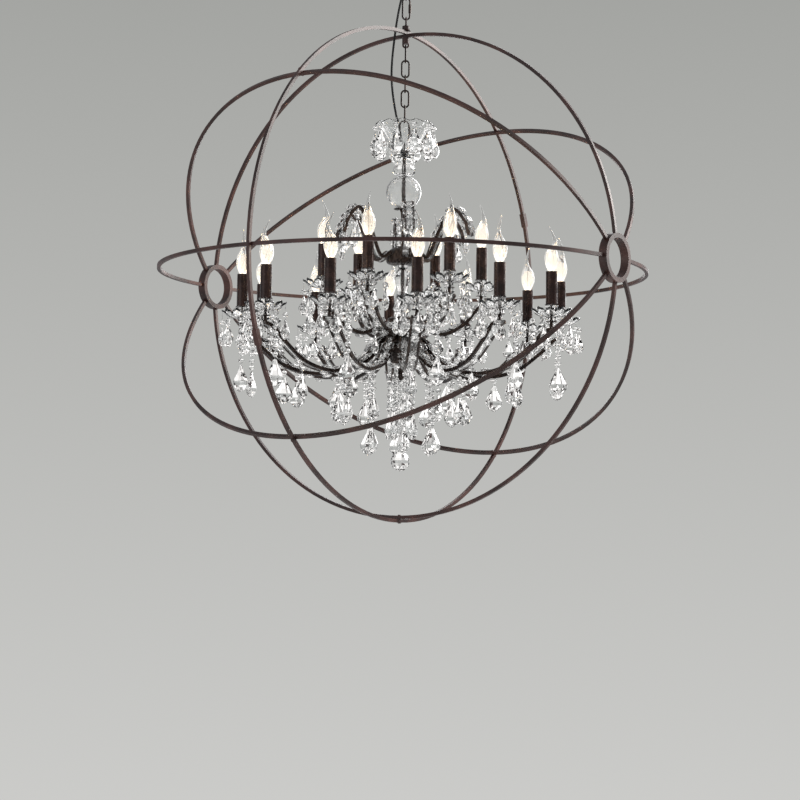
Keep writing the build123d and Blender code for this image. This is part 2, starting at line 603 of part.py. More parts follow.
def glass_column():
    low = UPPER_ARM_HUB_TOP_Z + SEAT_GAP
    high = UPPER_HUB_BOTTOM - SEAT_GAP
    tall, wide = high - low, COLUMN_GLASS_RADIUS
    return column_piece([
        (wide * 0.7, low), (wide, low + tall * 0.15), (wide * 0.55, low + tall * 0.4),
        (wide * 0.9, low + tall * 0.7), (wide * 0.5, low + tall * 0.9), (wide * 0.7, high),
    ])


def upper_arm_hub():
    low, high, wide = UPPER_ARM_HUB_BOTTOM, UPPER_ARM_HUB_TOP_Z, UPPER_ARM_HUB_RADIUS
    return column_piece([(wide * 0.8, low), (wide, low + 4), (wide, high - 4), (wide * 0.8, high)])


def lower_arm_hub():
    low, high, wide = LOWER_HUB_BOTTOM, LOWER_HUB_TOP, LOWER_HUB_RADIUS
    return column_piece([(wide * 0.9, low), (wide, low + 3), (wide, high - 3), (wide * 0.9, high)])


def bell():
    low, tall = BELL_BOTTOM, BELL_HEIGHT
    return column_piece([
        (BELL_RIM_RADIUS * 0.6, low), (BELL_RIM_RADIUS * 0.75, low + tall * 0.15),
        (BELL_RIM_RADIUS, low + tall * 0.5), (BELL_TOP_RADIUS, low + tall * 0.85),
        (BELL_TOP_RADIUS, BELL_TOP),
    ])


def glass_dish():
    low, wide = DISH_TOP - DISH_HEIGHT, DISH_RADIUS
    return column_piece([
        (wide * 0.45, low), (wide * 0.8, low + DISH_HEIGHT * 0.4), (wide, DISH_TOP - DISH_HEIGHT * 0.2),
        (wide, DISH_TOP),
    ])


def finial_knot():
    low, tall, wide = KNOT_BOTTOM, KNOT_HEIGHT, KNOT_RADIUS
    knot = turned([
        (0, low), (wide * 0.4, low), (wide * 0.7, low + tall * 0.2), (wide, low + tall * 0.5),
        (wide * 0.7, low + tall * 0.8), (wide * 0.9, KNOT_TOP), (0, KNOT_TOP),
    ])
    knot -= Pos(0, 0, KNOT_TOP - tall * 0.35) * Cylinder(ROD_RADIUS + ROD_GAP, tall * 0.8)
    return in_cage([knot])


# --- arms ---
def ribbon(middle, thickness, width):
    """A flat ribbon: a band of even thickness about a smooth line in XZ, with a width along Y."""
    half = thickness / 2
    sides = []
    for sign in (1, -1):
        edge = []
        for k, (r, z) in enumerate(middle):
            before = middle[max(k - 1, 0)]
            after = middle[min(k + 1, len(middle) - 1)]
            run, rise = after[0] - before[0], after[1] - before[1]
            size = hypot(run, rise)
            edge.append((r - sign * half * rise / size, z + sign * half * run / size))
        sides.append(edge)
    top, bottom = sides
    outline = [Spline(*top), Line(top[-1], bottom[-1]), Spline(*bottom), Line(bottom[0], top[0])]
    return extrude(Plane.XZ * make_face(outline), width / 2, both=True)


def lower_arm_line():
    """Down round the bell in a tight scroll, out along the bottom and up to the candle."""
    root_r, root_z = LOWER_HUB_RADIUS, LOWER_HUB_TOP - LOWER_ARM_ROOT_DROP
    tip_r, tip_z = LOWER_CANDLE_RADIUS, LOWER_ARM_TIP_Z - ARM_THICKNESS / 2
    low_z = tip_z - LOWER_ARM_SAG + ARM_THICKNESS / 2
    reach = tip_r - root_r
    drop, lift = root_z - low_z, tip_z - low_z
    return [
        (root_r, root_z), (root_r + reach * 0.07, root_z - drop * 0.12),
        (INNER_STRAND_RADIUS, root_z - drop * 0.46), (root_r + reach * 0.23, root_z - drop * 0.76),
        (MIDDLE_STRAND_RADIUS, low_z + drop * 0.1), (root_r + reach * 0.5, low_z),
        (OUTER_STRAND_RADIUS, low_z + lift * 0.18), (root_r + reach * 0.86, low_z + lift * 0.6),
        (root_r + reach * 0.95, low_z + lift * 0.9), (tip_r + ARM_THICKNESS, tip_z),
    ]


def upper_arm_line():
    root_r, root_z = UPPER_ARM_HUB_RADIUS, UPPER_ARM_HUB_TOP_Z - UPPER_ARM_ROOT_DROP
    tip_r, tip_z = UPPER_CANDLE_RADIUS, UPPER_ARM_TIP_Z - ARM_THICKNESS / 2
    low_z = tip_z - UPPER_ARM_SAG + ARM_THICKNESS / 2
    reach = tip_r - root_r
    drop, lift = root_z - low_z, tip_z - low_z
    return [
        (root_r, root_z), (root_r + reach * 0.18, root_z - drop * 0.5), (root_r + reach * 0.42, low_z),
        (root_r + reach * 0.72, low_z + lift * 0.3), (root_r + reach * 0.91, low_z + lift * 0.75),
        (tip_r + ARM_THICKNESS, tip_z),
    ]


def scroll_line():
    root_r, root_z = UPPER_HUB_RADIUS, UPPER_HUB_TOP - SCROLL_ROOT_DROP
    reach = SCROLL_RADIUS - root_r
    return [
        (root_r, root_z), (root_r + reach * 0.22, root_z - SCROLL_RISE * 0.12),
        (root_r + reach * 0.45, root_z + SCROLL_RISE * 0.55), (root_r + reach * 0.69, root_z + SCROLL_RISE),
        (root_r + reach * 0.91, root_z + SCROLL_RISE * 0.72), (SCROLL_RADIUS, root_z + SCROLL_RISE * 0.35),
    ]


def tapered_arm(line, count, first, root_width):
    """Arms round a hub, each narrowed towards its root so that neighbours don't touch."""
    root, tip = line[0][0], line[-1][0]
    half, narrow, bend = ARM_WIDTH / 2, root_width / 2, root + ARM_TAPER_LENGTH
    plan = Polyline(
        (root, narrow), (bend, half), (tip - half, half), (tip, half * 0.6),
        (tip, -half * 0.6), (tip - half, -half), (bend, -half), (root, -narrow), close=True,
    )
    arm = ribbon(line, ARM_THICKNESS, ARM_WIDTH)
    arm &= Pos(0, 0, -CROSS_RING_DIAMETER / 2) * extrude(make_face(plan), CROSS_RING_DIAMETER)
    hub = Cylinder(root + SEAT_GAP, CROSS_RING_DIAMETER)
    return in_cage(around(arm - hub, count, first))


def lower_arms():
    return tapered_arm(lower_arm_line(), LOWER_ARM_COUNT, CHANDELIER_TURN, ARM_ROOT_WIDTH)


def upper_arms():
    return tapered_arm(upper_arm_line(), UPPER_ARM_COUNT, UPPER_TURN, ARM_WIDTH * 0.85)


def scroll_arms():
    arm = ribbon(scroll_line(), SCROLL_THICKNESS, SCROLL_WIDTH)
    arm -= Cylinder(UPPER_HUB_RADIUS + SEAT_GAP, CROSS_RING_DIAMETER)
    return in_cage(around(arm, UPPER_ARM_COUNT, CHANDELIER_TURN))


# --- the eighteen lights ---
def at_lights(shape):
    """A copy of one light's piece at each of the lower and the upper candles."""
    low = Pos(LOWER_CANDLE_RADIUS, 0, LOWER_SLEEVE_Z) * shape
    high = Pos(UPPER_CANDLE_RADIUS, 0, UPPER_SLEEVE_Z) * shape
    lower = around(low, LOWER_ARM_COUNT, CHANDELIER_TURN)
    upper = around(high, UPPER_ARM_COUNT, UPPER_TURN)
    return in_cage(lower + upper)


def candle_sleeves():
    bore = SLEEVE_RADIUS - SLEEVE_WALL
    points = [(bore, 0), (SLEEVE_RADIUS, 0), (SLEEVE_RADIUS, SLEEVE_LENGTH), (bore, SLEEVE_LENGTH)]
    return at_lights(turned(points))


def lamp_sockets():
    floor = SOCKET_TOP - SOCKET_BORE_DEPTH
    return at_lights(turned([
        (0, SOCKET_BOTTOM), (SOCKET_RADIUS, SOCKET_BOTTOM), (SOCKET_RADIUS, SOCKET_TOP),
        (SOCKET_BORE_RADIUS, SOCKET_TOP), (SOCKET_BORE_RADIUS, floor), (0, floor),
    ]))


def flame_bulbs():
    seat = SOCKET_TOP + SEAT_GAP
    wide, tall = BULB_RADIUS, BULB_HEIGHT
    return at_lights(turned([
        (0, seat - BULB_BASE_LENGTH), (BULB_BASE_RADIUS, seat - BULB_BASE_LENGTH), (BULB_BASE_RADIUS, seat),
        (wide * 0.5, seat), (wide * 0.82, seat + tall * 0.14), (wide, seat + tall * 0.3),
        (wide * 0.9, seat + tall * 0.46), (wide * 0.5, seat + tall * 0.66), (wide * 0.2, seat + tall * 0.82),
        (wide * 0.08, seat + tall * 0.98), (0, seat + tall),
    ]))


def glass_cups():
    inside = SLEEVE_RADIUS + FIT_GAP
    return at_lights(turned([
        (STEM_RADIUS + FIT_GAP, -CUP_DEPTH), (CUP_RADIUS * 0.45, -CUP_DEPTH),
        (CUP_RADIUS * 0.8, -CUP_DEPTH * 0.5), (CUP_RADIUS, 0), (CUP_RADIUS, CUP_LIP), (inside, CUP_LIP),
        (inside, -SEAT_GAP),
        (STEM_RADIUS + FIT_GAP, -SEAT_GAP),
    ]))


def bobeches():
    """A shallow glass dish with a petalled rim and a short neck under it."""
    top, bottom, neck = BOBECHE_TOP, BOBECHE_BOTTOM, BOBECHE_NECK_RADIUS
    bore = STEM_RADIUS + FIT_GAP
    dish = turned([
        (bore, bottom - BOBECHE_NECK_LENGTH), (neck, bottom - BOBECHE_NECK_LENGTH), (neck, bottom),
        (BOBECHE_RADIUS, bottom + BOBECHE_RISE), (BOBECHE_RADIUS, top + BOBECHE_RISE), (neck, top),
        (bore, top),
    ])
    petal = BOBECHE_RADIUS * sin(radians(180 / BOBECHE_PETALS)) * 1.12
    petals = Circle(BOBECHE_RADIUS - petal * 0.8)
    for k in range(BOBECHE_PETALS):
        petals += Rot(0, 0, 360 * k / BOBECHE_PETALS) * Pos(BOBECHE_RADIUS - petal, 0) * Circle(petal)
    tall = BOBECHE_RISE + BOBECHE_GLASS + BOBECHE_NECK_LENGTH
    dish &= Pos(0, 0, bottom - BOBECHE_NECK_LENGTH - FIT_GAP) * extrude(petals, tall + 2 * FIT_GAP)
    return at_lights(dish)


def candle_stems():
    """The threaded stem on the arm's tip with its drip disc, up through the glass into the sleeve."""
    disc_low = DRIP_DISC_TOP - DRIP_DISC_THICKNESS
    top = SOCKET_BOTTOM - SEAT_GAP
    return at_lights(turned([
        (0, STEM_BOTTOM + FIT_GAP), (STEM_RADIUS * 1.5, STEM_BOTTOM + FIT_GAP), (STEM_RADIUS, disc_low),
        (DRIP_DISC_RADIUS, disc_low), (DRIP_DISC_RADIUS, DRIP_DISC_TOP), (STEM_RADIUS, DRIP_DISC_TOP),
        (STEM_RADIUS, top), (0, top),
    ]))


# --- crystal drops and strands ---
def bead(top):
    """The outline of one bead, from its top."""
    middle, bottom = top - BEAD_PITCH * 0.42, top - BEAD_PITCH * 0.84
    return [(PIN_RADIUS, top), (BEAD_RADIUS, middle), (PIN_RADIUS, bottom)]


def under(line, k, thickness, gap=ARM_DROP_GAP):
    """Where a pin's top clears the underside of an arm at one point of its line."""
    r, z = line[k]
    run, rise = line[k + 1][0] - line[k - 1][0], line[k + 1][1] - line[k - 1][1]
    slope = abs(rise / run)
    return Pos(r, 0, z - thickness / 2 * hypot(1, slope) - slope * PIN_RADIUS - gap)


def strand(length, pear_radius, pear_length):
    """Beads on a pin above a pear-shaped drop, hanging from z = 0 down to the given length."""
    beads = int((length - pear_length - 1) // BEAD_PITCH)
    lead = length - pear_length - beads * BEAD_PITCH
    points = [(0, 0), (PIN_RADIUS, 0)]
    for k in range(beads):
        top = -lead - k * BEAD_PITCH
        points += bead(top)
    top = pear_length - length
    points += [
        (PIN_RADIUS, top), (pear_radius * 0.35, top - pear_length * 0.12),
        (pear_radius, top - pear_length * 0.62),
        (pear_radius * 0.7, top - pear_length * 0.86), (0, -length),
    ]
    return turned(points)


def crown_drops():
    drop = strand(CROWN_STRAND_LENGTH, BIG_PEAR_RADIUS, BIG_PEAR_LENGTH)
    place = Pos(CROWN_RIM_RADIUS + PIN_RADIUS + DROP_GAP, 0, CROWN_TOP_Z)
    return in_cage(around(place * drop, CROWN_DROP_COUNT, 0))


def scroll_drops():
    line = scroll_line()
    short = strand(SCROLL_STRAND_LENGTH, PEAR_RADIUS, PEAR_LENGTH)
    drops = []
    for k in (-3, -2):
        drops += around(under(line, k, SCROLL_THICKNESS, DROP_GAP) * short, UPPER_ARM_COUNT, CHANDELIER_TURN)
    return in_cage(drops)


def rim_drops():
    """Short drops round every bobeche's rim, which leave room for the arm and for the long strand."""
    short = strand(SHORT_STRAND_LENGTH, PEAR_RADIUS, PEAR_LENGTH)
    drops = []
    for angle in RIM_DROP_ANGLES:
        drops += at_lights(Rot(0, 0, angle) * Pos(RIM_RADIUS, 0, RIM_UNDERSIDE - DROP_GAP) * short)
    return drops


def long_strands():
    """One long strand on each lower bobeche, and a short drop in its place on each upper one."""
    place = Rot(0, 0, LONG_STRAND_ANGLE) * Pos(RIM_RADIUS, 0, RIM_UNDERSIDE - DROP_GAP)
    long = place * strand(LONG_STRAND_LENGTH, BIG_PEAR_RADIUS, BIG_PEAR_LENGTH)
    short = place * strand(SHORT_STRAND_LENGTH, PEAR_RADIUS, PEAR_LENGTH)
    low = Pos(LOWER_CANDLE_RADIUS, 0, LOWER_SLEEVE_Z) * long
    high = Pos(UPPER_CANDLE_RADIUS, 0, UPPER_SLEEVE_Z) * short
    lower = around(low, LOWER_ARM_COUNT, CHANDELIER_TURN)
    return in_cage(lower + around(high, UPPER_ARM_COUNT, UPPER_TURN))


def arm_strands():
    """Strands under the lower arms at two distances, and one under each upper arm."""
    lower, upper = lower_arm_line(), upper_arm_line()
    middle = strand(MIDDLE_STRAND_LENGTH, BIG_PEAR_RADIUS, BIG_PEAR_LENGTH)
    outer = strand(OUTER_STRAND_LENGTH, BIG_PEAR_RADIUS, BIG_PEAR_LENGTH)
    short = strand(SHORT_STRAND_LENGTH, PEAR_RADIUS, PEAR_LENGTH)
    found = around(under(lower, 4, ARM_THICKNESS) * middle, LOWER_ARM_COUNT, CHANDELIER_TURN)
    found += around(under(lower, 6, ARM_THICKNESS) * outer, LOWER_ARM_COUNT, CHANDELIER_TURN)
    found += around(under(upper, 3, ARM_THICKNESS) * short, UPPER_ARM_COUNT, UPPER_TURN)
    return in_cage(found)


def centre_strands():
    """Long strands under the scrolls of every second lower arm, and round the glass dish."""
    outer = strand(INNER_STRAND_LENGTH, BIG_PEAR_RADIUS, BIG_PEAR_LENGTH)
    inner = strand(CENTRE_STRAND_LENGTH, PEAR_RADIUS, BIG_PEAR_LENGTH)
    place = Pos(CENTRE_STRAND_RADIUS, 0, DISH_TOP - DISH_HEIGHT * 0.42 - ARM_DROP_GAP)
    found = around(under(lower_arm_line(), 2, ARM_THICKNESS) * outer, CENTRE_STRAND_COUNT, CHANDELIER_TURN)
    return in_cage(found + around(place * inner, CENTRE_STRAND_COUNT, UPPER_TURN))


def bottom_ball():
    """The lowest glass ball, under beads on one pin from the finial knot."""
    top = KNOT_BOTTOM - DROP_GAP
    low = top - BOTTOM_BALL_DROP - BOTTOM_BALL_RADIUS
    points = [(0, top), (PIN_RADIUS, top)]
    beads = int((BOTTOM_BALL_DROP - BOTTOM_BALL_RADIUS) // BEAD_PITCH)
    for k in range(beads):
        z = top - BEAD_PITCH * (k + 0.1)
        points += bead(z)
    centre = low + BOTTOM_BALL_RADIUS
    points += [(PIN_RADIUS, centre), (0, centre)]
    beads_solid = turned(points)
    return in_cage([beads_solid + Pos(0, 0, centre) * Sphere(BOTTOM_BALL_RADIUS)])


NODES = {
    "ceiling_crossbar": ceiling_crossbar,
    "threaded_nipple": threaded_nipple,
    "nipple_nut": nipple_nut,
    "canopy_loop": canopy_loop,
    "canopy": canopy,
    "canopy_collar": canopy_collar,
    "upper_link": lambda: [plain_link(UPPER_LINK_Z, True)],
    "quick_link": quick_link,
    "quick_link_sleeve": quick_link_sleeve,
    "equator_ring": lambda: cage_ring(RING_ANGLES["equator_ring"]),
    "upright_ring": lambda: cage_ring(RING_ANGLES["upright_ring"]),
    "diagonal_ring_a": lambda: cage_ring(RING_ANGLES["diagonal_ring_a"]),
    "diagonal_ring_b": lambda: cage_ring(RING_ANGLES["diagonal_ring_b"]),
    "cross_ring": cross_ring,
    "splice_sleeves": splice_sleeves,
    "crossing_rivets": crossing_rivets,
    "hub_ring_right": lambda: hub_ring(1),
    "hub_ring_left": lambda: hub_ring(-1),
    "top_boss": top_boss,
    "top_eye_bolt": top_eye_bolt,
    "lower_eye": lower_eye,
    "supply_cord": supply_cord,
    "lower_link_1": lambda: lower_link(1),
    "lower_link_2": lambda: lower_link(2),
    "lower_link_3": lambda: lower_link(3),
    "lower_link_4": lambda: lower_link(4),
    "lower_link_5": lambda: lower_link(5),
    "long_link": long_link,
    "crown_hook": crown_hook,
    "centre_rod": centre_rod,
    "rod_wires": rod_wires,
    "crown_bowl": crown_bowl,
    "glass_knob": glass_knob,
    "glass_ball": glass_ball,
    "ball_disc": ball_disc,
    "glass_spindle": glass_spindle,
    "upper_hub": upper_hub,
    "glass_column": glass_column,
    "upper_arm_hub": upper_arm_hub,
    "lower_arm_hub": lower_arm_hub,
    "bell": bell,
    "glass_dish": glass_dish,
    "finial_knot": finial_knot,
    "lower_arms": lower_arms,
    "upper_arms": upper_arms,
    "scroll_arms": scroll_arms,
    "candle_stems": candle_stems,
    "bobeches": bobeches,
    "glass_cups": glass_cups,
    "candle_sleeves": candle_sleeves,
    "lamp_sockets": lamp_sockets,
    "flame_bulbs": flame_bulbs,
    "crown_drops": crown_drops,
    "scroll_drops": scroll_drops,
    "rim_drops": rim_drops,
    "long_strands": long_strands,
    "arm_strands": arm_strands,
    "centre_strands": centre_strands,
    "bottom_ball": bottom_ball,
}

os.makedirs("parts", exist_ok=True)
for node, make in NODES.items():
    export_step(Compound(children=make()), f"parts/{node}.step")
print("cage centre", round(ORB_Z, 3), "hub x", round(HUB_X, 3))
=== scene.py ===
"""Orb chandelier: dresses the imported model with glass, crystal, iron and light.

Metres. z = 0 is the ceiling and +X runs along the cage's hub axis. Heights inside the cage are
measured from its centre, CAGE_Z.
"""

import bmesh
import bpy
import numpy as np
from mathutils import Matrix, Vector


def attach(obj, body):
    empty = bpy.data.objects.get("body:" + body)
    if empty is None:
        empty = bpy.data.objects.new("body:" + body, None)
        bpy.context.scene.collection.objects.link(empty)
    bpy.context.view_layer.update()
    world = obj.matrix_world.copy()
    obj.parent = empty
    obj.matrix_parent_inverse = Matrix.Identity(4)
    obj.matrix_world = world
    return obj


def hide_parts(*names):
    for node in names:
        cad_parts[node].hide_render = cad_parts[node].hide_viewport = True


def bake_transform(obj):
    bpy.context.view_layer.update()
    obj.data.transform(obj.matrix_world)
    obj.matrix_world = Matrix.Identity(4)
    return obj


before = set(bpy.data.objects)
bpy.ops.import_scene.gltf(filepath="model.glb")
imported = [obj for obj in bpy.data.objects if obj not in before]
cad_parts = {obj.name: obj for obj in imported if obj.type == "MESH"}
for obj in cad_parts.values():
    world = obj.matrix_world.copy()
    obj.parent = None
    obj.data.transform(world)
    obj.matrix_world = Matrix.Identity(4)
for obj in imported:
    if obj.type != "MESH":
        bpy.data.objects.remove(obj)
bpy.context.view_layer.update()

rng = np.random.default_rng(44)

CAGE_Z = -0.734
# Even angles of the arms about the column, in degrees from +X.
LOWER_TURN = 9.6
UPPER_TURN = 39.6
LOWER_ANGLES = LOWER_TURN + np.arange(12) * 30.0
UPPER_ANGLES = UPPER_TURN + np.arange(6) * 60.0
SCROLL_ANGLES = LOWER_TURN + np.arange(6) * 60.0

# The photograph's right, away from the viewer, and up.
VIEW_TURN = np.radians(34.66)
RIGHT = np.array([np.cos(VIEW_TURN), np.sin(VIEW_TURN), 0.0])
AWAY = np.array([-np.sin(VIEW_TURN), np.cos(VIEW_TURN), 0.0])
UP = np.array([0.0, 0.0, 1.0])


# --- camera ---
# Degrees up from level, and about the line of sight.
CAMERA_RISE = 7.216
CAMERA_ROLL = -0.777
# Metres before and below the cage's centre.
CAMERA_DISTANCE = 4.8056
CAMERA_DROP = 0.6084
FARTHEST_SEEN = 60.0
# The lens and its sensor in millimetres, and the lens's shift in shares of the sensor.
LENS = 96.69
SENSOR = 36.0
LENS_SHIFT = (-0.0033, -0.1584)


def point_camera():
    """The camera stands below the cage's centre and looks up, with a little roll and a lens shift.

    Its axes are the photograph's right and up directions, turned about the line of sight by the roll.
    """
    rise, roll = np.radians(CAMERA_RISE), np.radians(CAMERA_ROLL)
    ahead = AWAY * np.cos(rise) + UP * np.sin(rise)
    above = UP * np.cos(rise) - AWAY * np.sin(rise)
    side = RIGHT * np.cos(roll) - above * np.sin(roll)
    above = RIGHT * np.sin(roll) + above * np.cos(roll)
    data = bpy.data.cameras.new("camera")
    data.sensor_width = SENSOR
    data.lens = LENS
    data.shift_x, data.shift_y = LENS_SHIFT
    data.clip_end = FARTHEST_SEEN
    camera = bpy.data.objects.new("camera", data)
    turn = np.eye(4)
    turn[:3, 0], turn[:3, 1], turn[:3, 2] = side, above, -ahead
    turn[:3, 3] = -CAMERA_DISTANCE * AWAY + UP * (CAGE_Z - CAMERA_DROP)
    camera.matrix_world = Matrix(turn.tolist())
    bpy.context.collection.objects.link(camera)
    bpy.context.scene.camera = camera


# --- mesh helpers ---
def make_piece(name, points, faces, body, finish, nodes=(), smooth=True, along=None):
    """Turns arrays of points and faces into a closed piece that rides on a body, or on none yet.

    along, one number for each point, is kept as an attribute of that name for the finishes.
    """
    mesh = bpy.data.meshes.new(name)
    mesh.from_pydata(np.asarray(points).reshape(-1, 3).tolist(), [], np.asarray(faces).tolist())
    if along is not None:
        mesh.attributes.new("along", "FLOAT", "POINT").data.foreach_set("value", np.ravel(along))
    work = bmesh.new()
    work.from_mesh(mesh)
    bmesh.ops.remove_doubles(work, verts=work.verts, dist=2e-6)
    bmesh.ops.dissolve_degenerate(work, dist=1e-7, edges=work.edges)
    bmesh.ops.recalc_face_normals(work, faces=work.faces)
    work.to_mesh(mesh)
    work.free()
    mesh.polygons.foreach_set("use_smooth", [smooth] * len(mesh.polygons))
    piece = bpy.data.objects.new(name, mesh)
    bpy.context.collection.objects.link(piece)
    mesh.materials.append(finish)
    if body:
        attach(piece, body)
    if nodes:
        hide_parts(*nodes)
    return piece


def grid_faces(rows, columns, close_rows=False):
    """Quads that join each point of a grid to the next in its row, which closes, and to the next row."""
    r = np.arange(rows if close_rows else rows - 1)
    r, c = np.meshgrid(r, np.arange(columns), indexing="ij")
    here, below = r * columns, (r + 1) % rows * columns
    beside = (c + 1) % columns
    return np.stack([here + c, here + beside, below + beside, below + c], -1).reshape(-1, 4)


def round_angles(sides):
    """Even angles round a full turn, in radians."""
    return np.arange(sides) * 2 * np.pi / sides


def lathe(profile, sides, flutes=0, depth=0.0, close=False):
    """Points (row, side) of a profile of (radius, height) turned about Z.

    The radius is multiplied by 1 + depth * cos(flutes * angle), which flutes or petals the surface.
    """
    profile = np.asarray(profile, float)
    angle = round_angles(sides)
    depth = np.broadcast_to(depth, len(profile))[:, None]
    radius = profile[:, :1] * (1 + depth * np.cos(flutes * angle)[None, :])
    height = np.repeat(profile[:, 1:], sides, 1)
    points = np.stack([radius * np.cos(angle), radius * np.sin(angle), height], -1)
    return points, grid_faces(len(profile), sides, close_rows=close)


def smooth_line(points, count):
    """Points spread evenly along the smooth curve through a few points.

    It is a Catmull-Rom curve, whose tangent at each point is half the step between its neighbours.
    """
    p = np.asarray(points, float)
    p = np.vstack([2 * p[0] - p[1], p, 2 * p[-1] - p[-2]])
    t = np.linspace(0, len(p) - 3, count, endpoint=True)
    k = np.minimum(t.astype(int), len(p) - 4)
    s = (t - k)[:, None]
    a, b, c, d = p[k], p[k + 1], p[k + 2], p[k + 3]
    square, cube = 2 * a - 5 * b + 4 * c - d, 3 * b - a - 3 * c + d
    return 0.5 * (2 * b + (c - a) * s + square * s**2 + cube * s**3)


def turns(angles):
    """Rotation matrices about Z for an array of angles in degrees."""
    a = np.radians(np.atleast_1d(angles))
    zero, one = np.zeros_like(a), np.ones_like(a)
    rows = [np.cos(a), -np.sin(a), zero, np.sin(a), np.cos(a), zero, zero, zero, one]
    return np.stack(rows, -1).reshape(-1, 3, 3)


def repeat(points, faces, places, rotations):
    """Copies of one shape: each is turned by its rotation and moved to its place."""
    flat = points.reshape(-1, 3)
    moved = np.einsum("nij,pj->npi", rotations, flat) + np.asarray(places)[:, None, :]
    steps = np.arange(len(moved))[:, None, None] * len(flat)
    return moved.reshape(-1, 3), (faces[None] + steps).reshape(-1, faces.shape[1])


def join(parts):
    """Several (points, faces) as one."""
    points, faces, count = [], [], 0
    for some, joined in parts:
        points.append(np.asarray(some).reshape(-1, 3))
        faces.append(np.asarray(joined) + count)
        count += len(points[-1])
    return np.vstack(points), np.vstack(faces)


# --- finishes ---
class Value:
    """A number in a finish's nodes. An expression on values adds the Math nodes that work it out."""

    def __init__(self, finish, socket):
        self.finish, self.socket = finish, socket

    def math(self, operation, *others):
        """The result of a Math node on this value and others."""
        return self.finish.add("ShaderNodeMath", {"operation": operation}, self, *others)

    def __add__(self, other):
        return self.math("ADD", other)

    def __mul__(self, other):
        return self.math("MULTIPLY", other)

    def between(self, low, high, start=0.0, end=1.0):
        """This value mapped from low..high to start..end and held there."""
        settings = {"clamp": True}
        return self.finish.add("ShaderNodeMapRange", settings, self, low, high, start, end)


class Finish:
    """A material for one kind of surface, with one shader and the nodes that feed it."""

    def __init__(self, name, **sockets):
        self.material = bpy.data.materials.new(name)
        self.material.use_nodes = True
        self.tree = self.material.node_tree
        self.shader = self.tree.nodes["Principled BSDF"]
        self.place = self.add("ShaderNodeTexCoord", {}, out="Object")
        self.set(**sockets)

    def add(self, kind, settings, *inputs, out=0, **named):
        """Adds any node: its settings first, then values or links for its sockets."""
        node = self.tree.nodes.new(kind)
        for key, value in settings.items():
            setattr(node, key, value)
        for key, value in list(enumerate(inputs)) + list(named.items()):
            socket = node.inputs[key.replace("_", " ") if isinstance(key, str) else key]
            if isinstance(value, Value):
                self.tree.links.new(value.socket, socket)
            elif value is not None:
                socket.default_value = value
        return Value(self, node.outputs[out])

    def noise(self, scale, detail=4.0, stretch=None):
        """Cloudy noise from 0 to 1, finer with a larger scale in cells a metre."""
        place = self.place
        if stretch:
            place = self.add("ShaderNodeMapping", {}, place, Scale=stretch)
        return self.add("ShaderNodeTexNoise", {}, Vector=place, Scale=scale, Detail=detail)

    def colours(self, amount, first, second):
        """A mix of two colours by an amount from 0 to 1."""
        node = self.tree.nodes.new("ShaderNodeMix")
        node.data_type = "RGBA"
        node.inputs[6].default_value = (*first, 1.0)
        node.inputs[7].default_value = (*second, 1.0)
        self.tree.links.new(amount.socket, node.inputs[0])
        return Value(self, node.outputs[2])

    def bump(self, height, depth, strength=1.0):
        """Raises the surface by a height from 0 to 1, times a depth in metres."""
        self.set(Normal=self.add("ShaderNodeBump", {}, Strength=strength, Distance=depth, Height=height))

    def set(self, **sockets):
        """Sets the shader's sockets, by their names, to numbers or values."""
        for key, value in sockets.items():
            socket = self.shader.inputs[key.replace("_", " ")]
            if isinstance(value, Value):
                self.tree.links.new(value.socket, socket)
            else:
                socket.default_value = value


def rusted_iron():
    """Brown-red rust with paler blooms over dark iron, rough and slightly pitted."""
    f = Finish("rusted_iron", Specular_IOR_Level=0.45)
    blooms = f.noise(14.0, 6.0).between(0.42, 0.66)
    grain = f.noise(220.0, 3.0)
    tone = blooms * 0.7 + grain * 0.3
    f.set(Base_Color=f.colours(tone, (0.018, 0.007, 0.0055), (0.11, 0.045, 0.036)))
    f.set(Roughness=grain * 0.12 + 0.38)
    f.bump(grain + blooms * 0.5, 0.0001, 0.3)
    return f.material


def dark_bronze(name, dark, pale, gloss, metallic):
    """Dark brown bronze, glossy where it is handled and duller in its clouds."""
    f = Finish(name, Metallic=metallic)
    cloud = f.noise(45.0, 5.0).between(0.35, 0.7)
    fine = f.noise(420.0, 2.0)
    f.set(Base_Color=f.colours(cloud, dark, pale), Roughness=cloud * 0.2 + gloss)
    f.bump(fine, 0.0002, 0.5)
    return f.material


def clear_glass(name, tint=(0.97, 0.985, 0.99), ior=1.48, ripple=0.0004, scale=55.0, haze=0.02):
    """Clear glass with the soft ripples of pressed glass and a trace of haze."""
    f = Finish(name, Transmission_Weight=1.0, IOR=ior)
    cloud = f.noise(scale, 2.0)
    f.set(Base_Color=f.colours(cloud, tint, (1.0, 1.0, 1.0)), Roughness=cloud * haze + 0.005)
    f.bump(cloud, ripple, 0.7)
    return f.material


def flame_glass():
    """A lit bulb: its body glows warm white, and the glow fades into a clear glass tip."""
    f = Finish("flame_glass", Transmission_Weight=1.0, IOR=1.3, Emission_Strength=0.32)
    height = f.add("ShaderNodeAttribute", {"attribute_name": "along"}, out="Fac")
    waver = f.noise(160.0, 2.0, (2.0, 2.0, 0.35))
    glow = (height + waver * 0.12).between(0.3, 0.66, 1.0, 0.0) * (waver * 0.8 + 0.5)
    warm = f.colours(height.between(0.0, 0.4), (1.0, 0.84, 0.62), (1.0, 0.96, 0.88))
    lit = f.add("ShaderNodeVectorMath", {"operation": "SCALE"}, warm, Scale=glow)
    f.set(Emission_Color=lit, Roughness=waver * 0.08 + 0.01)
    return f.material


